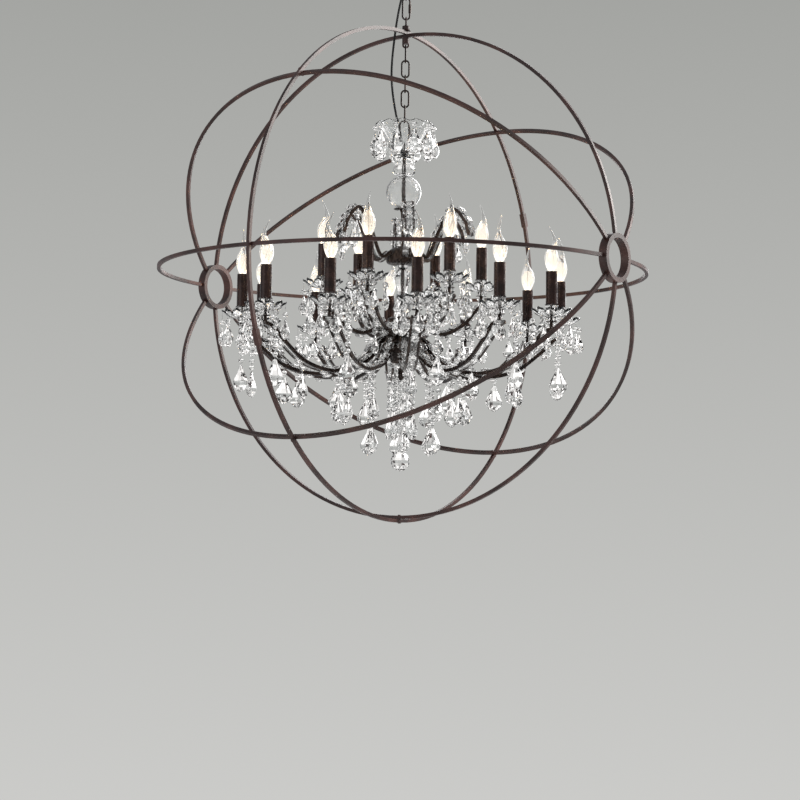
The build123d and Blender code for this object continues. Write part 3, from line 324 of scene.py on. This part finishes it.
def cord_sheath():
    """Black woven sheath: fine diagonal threads from two crossed waves."""
    f = Finish("cord_sheath", Roughness=0.6)
    weave = f.add("ShaderNodeTexWave", {"bands_direction": "DIAGONAL"}, f.place, Scale=420.0)
    f.set(Base_Color=f.colours(weave, (0.002, 0.002, 0.002), (0.009, 0.009, 0.009)))
    f.bump(weave, 0.0003)
    return f.material


def plated_steel():
    """Dull zinc-plated steel, brushed along one way."""
    f = Finish("plated_steel", Metallic=0.9)
    brushed = f.noise(90.0, 3.0, (1.0, 12.0, 1.0))
    f.set(Base_Color=f.colours(brushed, (0.42, 0.42, 0.4), (0.62, 0.61, 0.58)))
    f.set(Roughness=brushed * 0.3 + 0.25)
    return f.material


def moulded(name, dark, pale):
    """Plain moulded plastic with a fine mottle."""
    f = Finish(name)
    mottle = f.noise(300.0, 2.0)
    f.set(Base_Color=f.colours(mottle, dark, pale), Roughness=mottle * 0.2 + 0.4)
    return f.material


RUST = rusted_iron()
BRONZE = dark_bronze("dark_bronze", (0.016, 0.010, 0.008), (0.05, 0.031, 0.023), 0.2, 0.5)
CANDLE_BRONZE = dark_bronze("candle_bronze", (0.018, 0.008, 0.006), (0.05, 0.023, 0.017), 0.12, 0.4)
GLASS = clear_glass("pressed_glass")
THIN_GLASS = clear_glass("blown_glass", ior=1.45, ripple=0.003, scale=70.0, haze=0.25)
CRYSTAL = clear_glass("cut_crystal", tint=(0.96, 0.975, 0.98), ior=1.6, ripple=0.0001, haze=0.01)
FLAME = flame_glass()
SHEATH = cord_sheath()
STEEL = plated_steel()
SOCKET = moulded("lamp_socket", (0.55, 0.52, 0.46), (0.68, 0.65, 0.58))
WIRE = moulded("rod_wire", (0.2, 0.08, 0.05), (0.3, 0.13, 0.08))

NODE_FINISHES = {
    RUST: (
        "equator_ring upright_ring diagonal_ring_a diagonal_ring_b cross_ring splice_sleeves "
        "crossing_rivets hub_ring_right hub_ring_left top_boss top_eye_bolt lower_eye"
    ),
    BRONZE: (
        "canopy canopy_collar canopy_loop upper_link quick_link quick_link_sleeve lower_link_1 "
        "lower_link_2 lower_link_3 lower_link_4 lower_link_5 long_link crown_hook centre_rod "
        "ball_disc upper_arm_hub lower_arm_hub finial_knot candle_stems"
    ),
    CANDLE_BRONZE: "candle_sleeves",
    STEEL: "ceiling_crossbar threaded_nipple nipple_nut",
    SOCKET: "lamp_sockets",
    WIRE: "rod_wires",
}


def finish_nodes():
    """Gives every node that stays in view its finish."""
    for finish, names in NODE_FINISHES.items():
        for name in names.split():
            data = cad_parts[name].data
            data.materials.clear()
            data.materials.append(finish)


# --- supply cord ---
CORD_RADIUS = 0.0025
LOOP_BOTTOM = -0.055
CROWN_END = CAGE_Z + 0.2796
# The cord's route is given in a view turned this far about Z.
CORD_TURN = np.radians(35.0)
# Left in that view, toward the viewer, and height.
CORD_ROUTE = [
    (0.0066, 0.0066, LOOP_BOTTOM + 0.004),
    (0.0066, 0.0066, LOOP_BOTTOM - 0.015),
    (0.0076, 0.0072, CAGE_Z + 0.645),
    (0.0136, 0.0082, CAGE_Z + 0.622),
    (0.0190, 0.0080, CAGE_Z + 0.592),
    (0.0236, 0.0068, CAGE_Z + 0.560),
    (0.0274, 0.0054, CAGE_Z + 0.526),
    (0.0304, 0.0046, CAGE_Z + 0.492),
    (0.0318, 0.0042, CAGE_Z + 0.458),
    (0.0298, 0.0046, CAGE_Z + 0.424),
    (0.0252, 0.0060, CAGE_Z + 0.390),
    (0.0190, 0.0076, CAGE_Z + 0.358),
    (0.0124, 0.0082, CAGE_Z + 0.330),
    (0.0078, 0.0070, CAGE_Z + 0.308),
    (0.0058, 0.0052, CAGE_Z + 0.292),
    (0.0058, 0.0052, CROWN_END),
]
# Each stretch: its two bodies, its lower end, and where it turns from the first body to the second.
CORD_STRETCHES = [
    ("mount", "upper_chain_link", -0.0875, -0.060, -0.078),
    ("upper_chain_link", "quick_link_pair", -0.1260, -0.095, -0.112),
    ("quick_link_pair", "orb", -0.1820, -0.135, -0.165),
    ("orb", "first_lower_link", -0.2320, -0.200, -0.225),
    ("first_lower_link", "lower_chain", -0.3450, -0.240, -0.260),
    ("lower_chain", "crystal", CROWN_END, -0.400, -0.450),
]


def cord_line():
    """Points along the cord's smooth NURBS line, read from a curve with no bevel."""
    left = np.array([-np.cos(CORD_TURN), -np.sin(CORD_TURN), 0.0])
    near = np.array([np.sin(CORD_TURN), -np.cos(CORD_TURN), 0.0])
    curve = bpy.data.curves.new("cord_line", "CURVE")
    curve.dimensions = "3D"
    curve.resolution_u = 10
    spline = curve.splines.new("NURBS")
    spline.points.add(len(CORD_ROUTE) - 1)
    for point, (a, b, z) in zip(spline.points, CORD_ROUTE):
        point.co = (*(left * a + near * b + UP * z), 1.0)
    spline.order_u = 3
    spline.use_endpoint_u = True
    line = bpy.data.objects.new("cord_line", curve)
    bpy.context.collection.objects.link(line)
    mesh = bpy.data.meshes.new_from_object(line)
    points = np.empty(len(mesh.vertices) * 3)
    mesh.vertices.foreach_get("co", points)
    bpy.data.objects.remove(line)
    bpy.data.meshes.remove(mesh)
    return points.reshape(-1, 3)


def tube(line, radius, sides=12):
    """A round tube with closed ends: circles square to the line, turned along it without twist.

    The side direction at each point is the one toward the viewer, less its part along the line.
    """
    step = np.gradient(line, axis=0)
    step /= np.linalg.norm(step, axis=1, keepdims=True)
    side = -AWAY[None] - step * (step @ -AWAY)[:, None]
    side /= np.linalg.norm(side, axis=1, keepdims=True)
    other = np.cross(step, side)
    line, side, other = (np.vstack([v[:1], v, v[-1:]]) for v in (line, side, other))
    radii = np.full(len(line), radius)
    radii[[0, -1]] = 0.0
    angle = round_angles(sides)[None, :, None]
    circle = side[:, None] * np.cos(angle) + other[:, None] * np.sin(angle)
    return line[:, None] + circle * radii[:, None, None], grid_faces(len(line), sides)


def supply_cord():
    """The cord in stretches, one across each joint of the chain, all on one line."""
    line = cord_line()
    top = line[0, 2]
    for first, second, low, start, end in CORD_STRETCHES:
        rows = np.flatnonzero((line[:, 2] <= top + 1e-9) & (line[:, 2] >= low - 1e-6))
        past = 1 if low == CROWN_END else 2
        stretch = line[rows[0] : rows[-1] + past]
        top = stretch[-1, 2]
        points, faces = tube(stretch, CORD_RADIUS)
        name = f"cord_{first}_to_{second}"
        piece = make_piece(name, points, faces, None, SHEATH, ("supply_cord",))
        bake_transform(piece)


# --- the eighteen lights ---
LOWER_RADIUS = 0.359
UPPER_RADIUS = 0.179
LOWER_SLEEVE_Z = -0.086
UPPER_SLEEVE_Z = -0.013
LOWER_LIGHTS = len(LOWER_ANGLES)
LIGHTS = LOWER_LIGHTS + len(UPPER_ANGLES)
BULB_FOOT = 0.0740
BULB_LENGTH = 0.1
PETALS = 10


def ring_of(radius, height, angles):
    """Points at angles about the column, in degrees, at a height over the cage's centre."""
    a = np.radians(angles)
    return np.stack([radius * np.cos(a), radius * np.sin(a), np.full(len(a), CAGE_Z + height)], -1)


def light_places():
    """The foot of each candle sleeve, and the direction that its arm points in, in degrees."""
    lower = ring_of(LOWER_RADIUS, LOWER_SLEEVE_Z, LOWER_ANGLES)
    upper = ring_of(UPPER_RADIUS, UPPER_SLEEVE_Z, UPPER_ANGLES)
    return np.vstack([lower, upper]), np.concatenate([LOWER_ANGLES, UPPER_ANGLES])


def flame_bulbs():
    """Bent-tip flame bulbs: a round section whose radius swells and then tapers to a thin tail.

    The tail's centre swings aside as a sine of the height past the shoulder, and each bulb is turned by
    an angle of its own.
    """
    t = np.linspace(0.0, 1.0, 26)
    stops = [0.0, 0.06, 0.16, 0.27, 0.36, 0.46, 0.55, 0.64, 0.75, 0.88, 1.0]
    sizes = [0.0066, 0.0096, 0.0136, 0.0156, 0.0152, 0.0124, 0.0084, 0.0052, 0.0032, 0.0022, 0.0008]
    radius = np.interp(t, stops, sizes)
    radius[1:-1] = (radius[:-2] + 2 * radius[1:-1] + radius[2:]) / 4
    swing = 0.0075 * np.sin(np.clip((t - 0.45) / 0.55, 0, 1) * 4.0)
    t, radius, swing = (np.concatenate([v[:1], v, v[-1:]])[:, None] for v in (t, radius, swing))
    radius[[0, -1]] = 0.0
    angle = round_angles(16)
    height = np.repeat(BULB_FOOT + t * BULB_LENGTH, 16, 1)
    points = np.stack([radius * np.cos(angle) + swing, radius * np.sin(angle), height], -1)
    places, _ = light_places()
    points, faces = repeat(points, grid_faces(len(t), 16), places, turns(rng.uniform(0, 360, LIGHTS)))
    along = np.tile(np.repeat(t, 16), LIGHTS)
    bulbs = make_piece("flame_bulb_glass", points, faces, "crystal", FLAME, ("flame_bulbs",), along=along)
    bulbs.visible_shadow = False


def at_lights(name, node, points, faces, smooth):
    """A glass piece of its own at every light, turned as its arm is."""
    places, angles = light_places()
    points, faces = repeat(points, faces, places, turns(angles))
    make_piece(name, points, faces, "crystal", GLASS, (node,), smooth)


def glass_cups():
    """Ten-sided cut cups under the sleeves."""
    profile = [
        (0.0034, -0.0219), (0.0066, -0.0219), (0.0100, -0.0150), (0.0128, -0.0080), (0.0146, -0.0010),
        (0.0146, 0.0028), (0.0128, 0.0028), (0.0128, -0.0003), (0.0034, -0.0003),
    ]
    at_lights("cut_cups", "glass_cups", *lathe(profile, 10, close=True), smooth=False)


def bobeches():
    """Flower dishes: a shallow cone whose rim radius and height wave ten times round.

    The closed section runs out along the top and back along the underside to the neck.
    """
    out = np.array([0.0034, 0.010, 0.020, 0.031, 0.040, 0.0455])
    rise = np.array([0.0, 0.0, 0.0018, 0.0052, 0.0096, 0.0136])
    top = np.stack([out, rise - 0.0222], -1)
    under = np.stack([out[::-1], rise[::-1] - 0.0250], -1)[:-1]
    neck = np.array([(0.0084, -0.0252), (0.0078, -0.0340), (0.0034, -0.0340)])
    profile = np.vstack([top, under, neck])
    points, faces = lathe(profile, 6 * PETALS, close=True)
    angle = round_angles(6 * PETALS)
    share = np.clip((profile[:, 0] - 0.012) / 0.034, 0, 1)[:, None]
    petal = np.abs(np.cos(PETALS / 2 * angle))[None, :]
    points[..., :2] *= (1 - 0.2 * share * (1 - petal))[..., None]
    points[..., 2] += 0.0075 * share * (petal - 0.6) + 0.0009 * share * np.cos(3 * PETALS * angle)
    at_lights("flower_dishes", "bobeches", points, faces, smooth=True)


# --- arms ---
LOWER_ARM = [
    (0.036, -0.1462), (0.0586, -0.1564), (0.078, -0.1852), (0.1103, -0.2106), (0.142, -0.2224),
    (0.1975, -0.2309), (0.262, -0.214), (0.3138, -0.1745), (0.3428, -0.1463), (0.365, -0.1369),
]
UPPER_ARM = [
    (0.032, -0.116), (0.0585, -0.1265), (0.0937, -0.1369), (0.1378, -0.115), (0.1658, -0.0822),
    (0.185, -0.0639),
]
SCROLL_ARM = [
    (0.038, 0.0457), (0.0662, 0.0346), (0.0956, 0.0963), (0.1263, 0.1377), (0.1545, 0.1119),
    (0.166, 0.0779),
]
# Radii between which a lower arm widens, and its share of the full width at each.
ARM_TAPER = ((0.034, 0.078), (0.6, 1.0))
# The even width that the other arms have from end to end.
EVEN_WIDTH = ((0.0, 1.0), (1.0, 1.0))
BAR_THICKNESS = 0.0074
PANE_THICKNESS = 0.0018
PANE_SHIFT = 0.0017
PANE_GAP = 0.0002


def arm_path(line, count):
    """Points along an arm's line in XZ, each with its directions along the line and square to it."""
    path = smooth_line([(r, 0.0, z) for r, z in line], count)
    step = np.gradient(path, axis=0)
    step /= np.linalg.norm(step, axis=1, keepdims=True)
    return path, step, np.stack([-step[:, 2], np.zeros(len(step)), step[:, 0]], -1)


def strip(line, thick, low, high, taper):
    """A flat bar along an arm's line: a rectangle square to the line, from low to high across it."""
    path, _, up = arm_path(line, 48)
    scale = np.interp(path[:, 0], *taper)
    corners = [(low, -thick / 2), (high, -thick / 2), (high, thick / 2), (low, thick / 2)]
    y = np.array([0.0, 1.0, 0.0])
    points = np.stack([path + y * (a * scale)[:, None] + up * b for a, b in corners], 1)
    middle = points.mean(1, keepdims=True)
    ends = np.repeat(middle[[0, -1]], 4, 1)
    points = np.concatenate([ends[:1], points, ends[1:]])
    return points, grid_faces(len(points), 4)


def place_round(shape, angles):
    """Copies of a shape turned to each angle and lifted to the cage's centre."""
    places = np.tile([0.0, 0.0, CAGE_Z], (len(angles), 1))
    return repeat(*shape, places, turns(angles))


def arms():
    """Each arm is two dark iron bars, one along each edge, with two glass panes between them."""
    for name, line, angles, wide, bar, taper in (
        ("lower_arm", LOWER_ARM, LOWER_ANGLES, 0.0128, 0.0052, ARM_TAPER),
        ("upper_arm", UPPER_ARM, UPPER_ANGLES, 0.0128, 0.0052, EVEN_WIDTH),
        ("scroll_arm", SCROLL_ARM, SCROLL_ANGLES, 0.0106, 0.0034, EVEN_WIDTH),
    ):
        bars = [strip(line, BAR_THICKNESS, low, low + bar, taper) for low in (-wide, wide - bar)]
        iron = join([place_round(edge, angles) for edge in bars])
        make_piece(f"{name}_iron", *iron, "crystal", BRONZE, (f"{name}s",), smooth=False)
        edge = wide - bar - PANE_GAP
        shifted = [np.array(line) + [0.0, shift] for shift in (-PANE_SHIFT, PANE_SHIFT)]
        panes = [strip(middle, PANE_THICKNESS, -edge, edge, taper) for middle in shifted]
        glass = join([place_round(pane, angles) for pane in panes])
        make_piece(f"{name}_glass", *glass, "crystal", GLASS, smooth=False)


# --- crystals ---
BEAD_PITCH = 0.015
BEAD_RADIUS = 0.0066
SMALL_BEAD_RADIUS = 0.005
BEAD_HEIGHT = 0.0128
BEAD_GAP = 0.0006
WIRE_RADIUS = 0.0006
# The least bare wire over the first bead, the gap over a pendant, and the wire's end inside it.
LEAD = 0.001
DROP_GAP = 0.001
WIRE_END = 0.003
# Radius and height of each kind of pendant.
SMALL = (0.013, 0.046)
SLIM = (0.013, 0.062)
LARGE = (0.0185, 0.062)
DROP_FLATNESS = 0.55
DROP_WIDENING = 1.12
# Where the rim of a dish carries its drops, from the foot of the candle sleeve.
RIM_RADIUS = 0.0435
RIM_HEIGHT = -0.0124


def cut_bead(radius):
    """A cut bead: two cones on a belt of flat facets, from its top at z = 0."""
    profile = [(0.0, 0.0), (0.55, -0.12), (1.0, -0.42), (1.0, -0.58), (0.55, -0.88), (0.0, -1.0)]
    return lathe(np.array(profile) * [radius, BEAD_HEIGHT], 8)


def cut_drop(radius, tall):
    """A pear-shaped pendant, flattened to a share of its width, from its top at z = 0."""
    profile = [
        (0.0, 0.0), (0.22, -0.05), (0.38, -0.22), (0.72, -0.42), (1.0, -0.62), (0.92, -0.76),
        (0.55, -0.92), (0.0, -1.0),
    ]
    points, faces = lathe(np.array(profile) * [radius, tall], 10)
    points[..., 1] *= DROP_FLATNESS
    return points, faces


def wire(length):
    """A thin round wire hanging from z = 0."""
    return lathe([(0.0, 0.0), (WIRE_RADIUS, 0.0), (WIRE_RADIUS, -length), (0.0, -length)], 5)


def spun(shape, places):
    """Copies of a shape at some places, each turned about Z by an angle of its own."""
    return repeat(*shape, places, turns(rng.uniform(0, 360, len(places))))


def strands(name, node, kinds, bead=BEAD_RADIUS):
    """All the strands of a node: each kind has its length, pendant radius and height, and its tops.

    Beads fill the wire above the pendant at an even pitch, as many as leave a short bare lead on top.
    Every bead and pendant is turned by its own angle about Z. A cut pendant is a little wider than its
    turned outline, because its facets and its flatness take width away.
    """
    parts = []
    for length, radius, tall, tops in kinds:
        foot = length - tall
        beads = int((foot - LEAD) // BEAD_PITCH)
        for k in range(beads):
            drop = foot - (beads - k) * BEAD_PITCH + BEAD_GAP
            parts.append(spun(cut_bead(bead), tops - UP * drop))
        pendant = cut_drop(radius * DROP_WIDENING, tall - DROP_GAP)
        parts.append(spun(pendant, tops - UP * (foot + DROP_GAP)))
        parts.append(repeat(*wire(foot + WIRE_END), tops, turns(np.zeros(len(tops)))))
    make_piece(name, *join(parts), "crystal", CRYSTAL, (node,), smooth=False)


def on_lights(angle):
    """A point on the rim of each light's dish, at an angle from its arm: the lower lights come first."""
    places, turned = light_places()
    a = np.radians(turned + angle)
    out = np.stack([np.cos(a), np.sin(a), np.zeros(LIGHTS)], -1) * RIM_RADIUS
    return places + out + UP * RIM_HEIGHT


def crystals():
    """Every hanging strand, grouped by the node that it replaces."""
    tops = ring_of(0.0661, 0.345, np.arange(10) * 36.0)
    strands("crown_crystals", "crown_drops", [(0.084, *LARGE, tops)])
    tops = np.vstack([ring_of(r, z, SCROLL_ANGLES) for r, z in ((0.1263, 0.1346), (0.1545, 0.1059))])
    strands("scroll_crystals", "scroll_drops", [(0.070, *SMALL, tops)])
    tops = np.vstack([on_lights(a) for a in (-140, -90, -45, 0, 45, 140)])
    strands("rim_crystals", "rim_drops", [(0.076, *SMALL, tops)])
    lower, upper = np.split(on_lights(90), [LOWER_LIGHTS])
    strands("long_crystals", "long_strands", [(0.180, *LARGE, lower), (0.076, *SMALL, upper)])
    under = [
        (0.115, *LARGE, ring_of(0.142, -0.2265, LOWER_ANGLES)),
        (0.082, *LARGE, ring_of(0.262, -0.2185, LOWER_ANGLES)),
        (0.076, *SMALL, ring_of(0.1378, -0.1202, UPPER_ANGLES)),
    ]
    strands("arm_crystals", "arm_strands", under)
    centre = [
        (0.218, *LARGE, ring_of(0.078, -0.1911, SCROLL_ANGLES)),
        (0.165, *SLIM, ring_of(0.0275, -0.2112, UPPER_ANGLES)),
    ]
    strands("centre_crystals", "centre_strands", centre, SMALL_BEAD_RADIUS)


ROSETTE_RADIUS = 0.0094
ROSETTE_HEIGHT = 0.0072
ROSETTE_RISE = 0.0066
# Each flower at a station: over (1) or under (-1) the arm, and its shift across it.
ROSETTES = ((1, -0.0072), (1, 0.0072), (-1, 0.0))


def rosette():
    """A flower of cut glass lying in XY: its radius waves between six petals, domed on both faces."""
    half = [(0.0, 0.5), (0.45, 0.5), (0.8, 0.3), (1.0, 0.0)]
    rows = half + [(r, -z) for r, z in half[-2::-1]]
    depth = [0.0, 0.06, 0.16, 0.2, 0.16, 0.06, 0.0]
    return lathe(np.array(rows) * [ROSETTE_RADIUS, ROSETTE_HEIGHT], 24, 6, depth)


def arm_rosettes():
    """Glass flowers at stations along each arm, given as shares of its line: two above, one below."""
    points, faces = rosette()
    parts = []
    for line, angles, shares in (
        (LOWER_ARM, LOWER_ANGLES, (0.18, 0.28, 0.38, 0.5, 0.58, 0.68, 0.78, 0.87)),
        (UPPER_ARM, UPPER_ANGLES, (0.2, 0.4, 0.55, 0.7, 0.82)),
        (SCROLL_ARM, SCROLL_ANGLES, (0.4, 0.55, 0.68, 0.8, 0.92)),
    ):
        path, step, up = arm_path(line, 101)
        for k in (int(share * 100) for share in shares):
            basis = np.stack([step[k], [0.0, 1.0, 0.0], up[k]], 1)
            for way, across in ROSETTES:
                place = path[k] + up[k] * (way * ROSETTE_RISE) + [0.0, across, 0.0]
                parts.append(place_round((points @ basis.T + place, faces), angles))
    make_piece("arm_rosettes", *join(parts), "crystal", CRYSTAL, smooth=False)


# --- column: every height is over the cage's centre ---
BORE = 0.0044
CROWN_WALL = 0.0032
CROWN_FLUTES = 12
CROWN_RIM_WAVE = 0.006


def turned_piece(name, node, profile, finish, sides, flutes=0, depth=0.0, smooth=True):
    """A turned piece with a bore for the centre rod, fluted where depth isn't zero."""
    points, faces = lathe(profile, sides, flutes, depth, close=True)
    points[..., 2] += CAGE_Z
    make_piece(name, points, faces, "crystal", finish, (node,), smooth)


def crown():
    """The crown: an open fluted bell of glass whose rim waves, with an even wall."""
    outer = smooth_line([
        (0.0228, 0.2457), (0.0230, 0.2650), (0.0308, 0.2886), (0.0440, 0.3165), (0.0600, 0.3368),
        (0.0645, 0.3448),
    ], 22)
    inner = outer[::-1] - [CROWN_WALL, 0.0]
    inner = inner[inner[:, 1] > 0.2690]
    bore = np.array([(0.0118, 0.2686), (0.0118, 0.2647), (BORE, 0.2647), (BORE, 0.2457)])
    profile = np.vstack([outer, inner, bore])
    share = np.clip((profile[:, 0] - 0.022) / 0.04, 0, 1) * np.clip((profile[:, 1] - 0.266) / 0.03, 0, 1)
    points, faces = lathe(profile, 8 * CROWN_FLUTES, CROWN_FLUTES, -0.05 * share - 0.0001, close=True)
    wave = (1 - np.cos(CROWN_FLUTES * round_angles(8 * CROWN_FLUTES))) / 2
    rim = np.clip((profile[:, 1] - 0.325) / 0.02, 0, 1)[:, None]
    points[..., 2] += CAGE_Z - CROWN_RIM_WAVE * rim * wave
    make_piece("fluted_crown", points, faces, "crystal", GLASS, ("crown_bowl",))


def cut_piece(name, node, profile, facets):
    """A turned piece of glass with flat facets, bored from its profile's first height to its last."""
    profile = [(BORE, profile[0][1]), *profile, (BORE, profile[-1][1])]
    turned_piece(name, node, profile, GLASS, facets, smooth=False)


def fluted_piece(name, node, stops, count, flutes, depth):
    """A turned piece of bronze, fluted outside its neck, on a smooth profile through a few stops."""
    profile = np.vstack([[(BORE, stops[0][1])], smooth_line(stops, count), [(BORE, stops[-1][1])]])
    depths = np.where(profile[:, 0] > 0.015, depth, 0.0)
    turned_piece(name, node, profile, BRONZE, 4 * flutes, flutes, depths)


def blown_ball():
    """A thin ball of blown glass, a little flatter than round, with its poles open for the rod."""
    a = np.linspace(-0.97 * np.pi / 2, 0.97 * np.pi / 2, 25)
    ball = np.stack([0.0398 * np.cos(a), 0.0378 * np.sin(a) + 0.1852], -1)
    inside = np.stack([0.0372 * np.cos(a), 0.0352 * np.sin(a) + 0.1852], -1)[::-1]
    ball[[0, -1], 0] = BORE + 0.003
    inside[[0, -1], 0] = BORE
    turned_piece("blown_ball", "glass_ball", np.vstack([ball, inside]), THIN_GLASS, 48)


def column():
    """The turned pieces that stand on the centre rod, from the top down."""
    cut_piece("cut_knob", "glass_knob", [
        (0.0160, 0.2236), (0.0235, 0.2262), (0.0262, 0.2320), (0.0258, 0.2385), (0.0210, 0.2450),
    ], 12)
    blown_ball()
    cut_piece("cut_spindle", "glass_spindle", [
        (0.0130, 0.0620), (0.0182, 0.0680), (0.0185, 0.0740), (0.0105, 0.0820), (0.0098, 0.0880),
        (0.0160, 0.0960), (0.0165, 0.1010), (0.0098, 0.1110), (0.0088, 0.1236),
    ], 10)
    fluted_piece("fluted_dome", "upper_hub", [
        (0.0230, 0.0180), (0.0350, 0.0225), (0.0372, 0.0340), (0.0345, 0.0460), (0.0240, 0.0560),
        (0.0130, 0.0614),
    ], 20, 24, 0.02)
    cut_piece("cut_pillar", "glass_column", [
        (0.0138, -0.0998), (0.0196, -0.0830), (0.0170, -0.0580), (0.0108, -0.0420), (0.0150, -0.0260),
        (0.0178, -0.0100), (0.0150, 0.0030), (0.0098, 0.0100), (0.0138, 0.0172),
    ], 12)
    fluted_piece("fluted_bell", "bell", [
        (0.0190, -0.2062), (0.0235, -0.1995), (0.0300, -0.1850), (0.0336, -0.1700), (0.0336, -0.1606),
    ], 16, 18, 0.03)
    cut_piece("cut_dish", "glass_dish", [
        (0.0135, -0.2154), (0.0246, -0.2118), (0.0308, -0.2084), (0.0308, -0.2068),
    ], 20)


LOWEST_WIRE_TOP = -0.2421
LOWEST_WIRE_LENGTH = 0.165
LOWEST_BEADS = 10
LOWEST_BALL_DROP = 0.1810
LOWEST_BALL_RADIUS = 0.0219


def bottom_ball():
    """Cut beads on a wire above the lowest ball, which is cut all over in flat facets."""
    top = np.array([[0.0, 0.0, CAGE_Z + LOWEST_WIRE_TOP]])
    drops = BEAD_PITCH * (np.arange(LOWEST_BEADS) + 0.1)
    parts = [spun(cut_bead(BEAD_RADIUS), top - UP * drop) for drop in drops]
    a = np.linspace(np.pi / 2, -np.pi / 2, 9)
    ball = lathe(np.stack([np.cos(a), np.sin(a)], -1) * LOWEST_BALL_RADIUS, 14)
    parts.append(repeat(*ball, top - UP * LOWEST_BALL_DROP, turns([0.0])))
    parts.append(repeat(*wire(LOWEST_WIRE_LENGTH), top, turns([0.0])))
    make_piece("lowest_ball", *join(parts), "pendant_ball", CRYSTAL, ("bottom_ball",), smooth=False)


# --- light and room ---
FLOOR_HALF = 5.0
FLOOR_Z = -2.75
BULB_LAMP_RISE = 0.105


def lamp(name, kind, place, energy, colour, **settings):
    """A lamp in watts that isn't itself seen through the glass."""
    data = bpy.data.lights.new(name, kind)
    data.energy, data.color = energy, colour
    for key, value in settings.items():
        setattr(data, key, value)
    light = bpy.data.objects.new(name, data)
    bpy.context.collection.objects.link(light)
    light.location = place.tolist()
    light.visible_transmission = False
    return light


def area_lamp(name, place, energy, colour, size):
    """A large soft lamp whose -Z looks at the cage's centre."""
    light = lamp(name, "AREA", place, energy, colour, size=size)
    way = Vector((0.0, 0.0, CAGE_Z)) - light.location
    light.rotation_euler = way.to_track_quat("-Z", "Y").to_euler()


def lamps():
    """A key lamp at the right, a weak fill, a lamp behind, and a small warm lamp in every bulb."""
    area_lamp("key", RIGHT * 2.8 + AWAY * 0.7 + UP * 0.6, 120.0, (1.0, 0.97, 0.94), 1.6)
    area_lamp("fill", -RIGHT * 2.6 - AWAY * 2.0 + UP * -0.6, 14.0, (0.95, 0.98, 1.0), 2.6)
    area_lamp("back", RIGHT * 0.8 + AWAY * 2.8 + UP * 0.4, 45.0, (1.0, 1.0, 1.0), 2.0)
    for k, place in enumerate(light_places()[0] + UP * BULB_LAMP_RISE):
        lamp(f"bulb_{k}", "POINT", place, 0.12, (1.0, 0.72, 0.42), shadow_soft_size=0.012)


def floor():
    """A pale floor well below, which the glass doesn't show."""
    mesh = bpy.data.meshes.new("floor")
    corners = [(x * FLOOR_HALF, y * FLOOR_HALF, FLOOR_Z) for x, y in ((-1, -1), (1, -1), (1, 1), (-1, 1))]
    mesh.from_pydata(corners, [], [(0, 1, 2, 3)])
    plane = bpy.data.objects.new("floor", mesh)
    bpy.context.collection.objects.link(plane)
    f = Finish("pale_floor", Roughness=0.9)
    f.set(Base_Color=f.colours(f.noise(3.0), (0.80, 0.80, 0.79), (0.84, 0.84, 0.83)))
    mesh.materials.append(f.material)
    plane.visible_transmission = False


def sky():
    """A pale grey world that darkens upward where the camera sees it, and glows softly elsewhere.

    Rays through glass see that same grey near the level, and above and below it broken bright
    patches, which light the facets unevenly.
    """
    world = bpy.data.worlds.new("world")
    bpy.context.scene.world = world
    world.use_nodes = True
    tree = world.node_tree
    tree.nodes.clear()

    def add(kind, values=(), **settings):
        """Adds a node: its settings first, then numbers or links for its sockets."""
        node = tree.nodes.new(kind)
        for key, value in settings.items():
            setattr(node, key, value)
        for socket, value in values:
            if isinstance(value, bpy.types.NodeSocket):
                tree.links.new(value, node.inputs[socket])
            else:
                node.inputs[socket].default_value = value
        return node

    way = add("ShaderNodeTexCoord").outputs["Generated"]
    height = add("ShaderNodeSeparateXYZ", [(0, way)]).outputs[2]
    amount = add("ShaderNodeMapRange", [(0, height), (1, -0.12), (2, 0.25)]).outputs[0]
    low, high = (0.60, 0.60, 0.585, 1.0), (0.37, 0.375, 0.36, 1.0)
    tone = add("ShaderNodeMix", [(0, amount), (6, low), (7, high)], data_type="RGBA").outputs[2]
    seen = add("ShaderNodeBackground", [(0, tone)]).outputs[0]
    glow = add("ShaderNodeBackground", [(0, (0.93, 0.96, 1.0, 1.0)), (1, 0.42)]).outputs[0]
    cloud = add("ShaderNodeTexNoise", [("Vector", way), ("Scale", 2.6), ("Detail", 2.0)]).outputs[0]
    patch = add("ShaderNodeMapRange", [(0, cloud), (1, 0.36), (2, 0.56), (3, 0.16), (4, 1.6)]).outputs[0]
    around = add("ShaderNodeBackground", [(0, (1.0, 0.97, 0.945, 1.0)), (1, patch)]).outputs[0]
    lifted = add("ShaderNodeMath", [(0, height), (1, 0.08)], operation="SUBTRACT").outputs[0]
    steep = add("ShaderNodeMath", [(0, lifted)], operation="ABSOLUTE").outputs[0]
    level = add("ShaderNodeMapRange", [(0, steep), (1, 0.14), (2, 0.38), (3, 1.0), (4, 0.0)]).outputs[0]
    through = add("ShaderNodeMixShader", [(0, level), (1, around), (2, seen)]).outputs[0]
    rays = add("ShaderNodeLightPath").outputs
    bent, direct = rays["Is Transmission Ray"], rays["Is Camera Ray"]
    unseen = add("ShaderNodeMixShader", [(0, bent), (1, glow), (2, through)]).outputs[0]
    shown = add("ShaderNodeMixShader", [(0, direct), (1, unseen), (2, seen)]).outputs[0]
    add("ShaderNodeOutputWorld", [(0, shown)])


def room():
    """The stage: floor, world and lamps, shown at the plain Standard view."""
    floor()
    sky()
    lamps()
    bpy.context.scene.view_settings.view_transform = "Standard"


point_camera()
finish_nodes()
supply_cord()
flame_bulbs()
glass_cups()
bobeches()
arms()
crystals()
arm_rosettes()
crown()
column()
bottom_ball()
room()
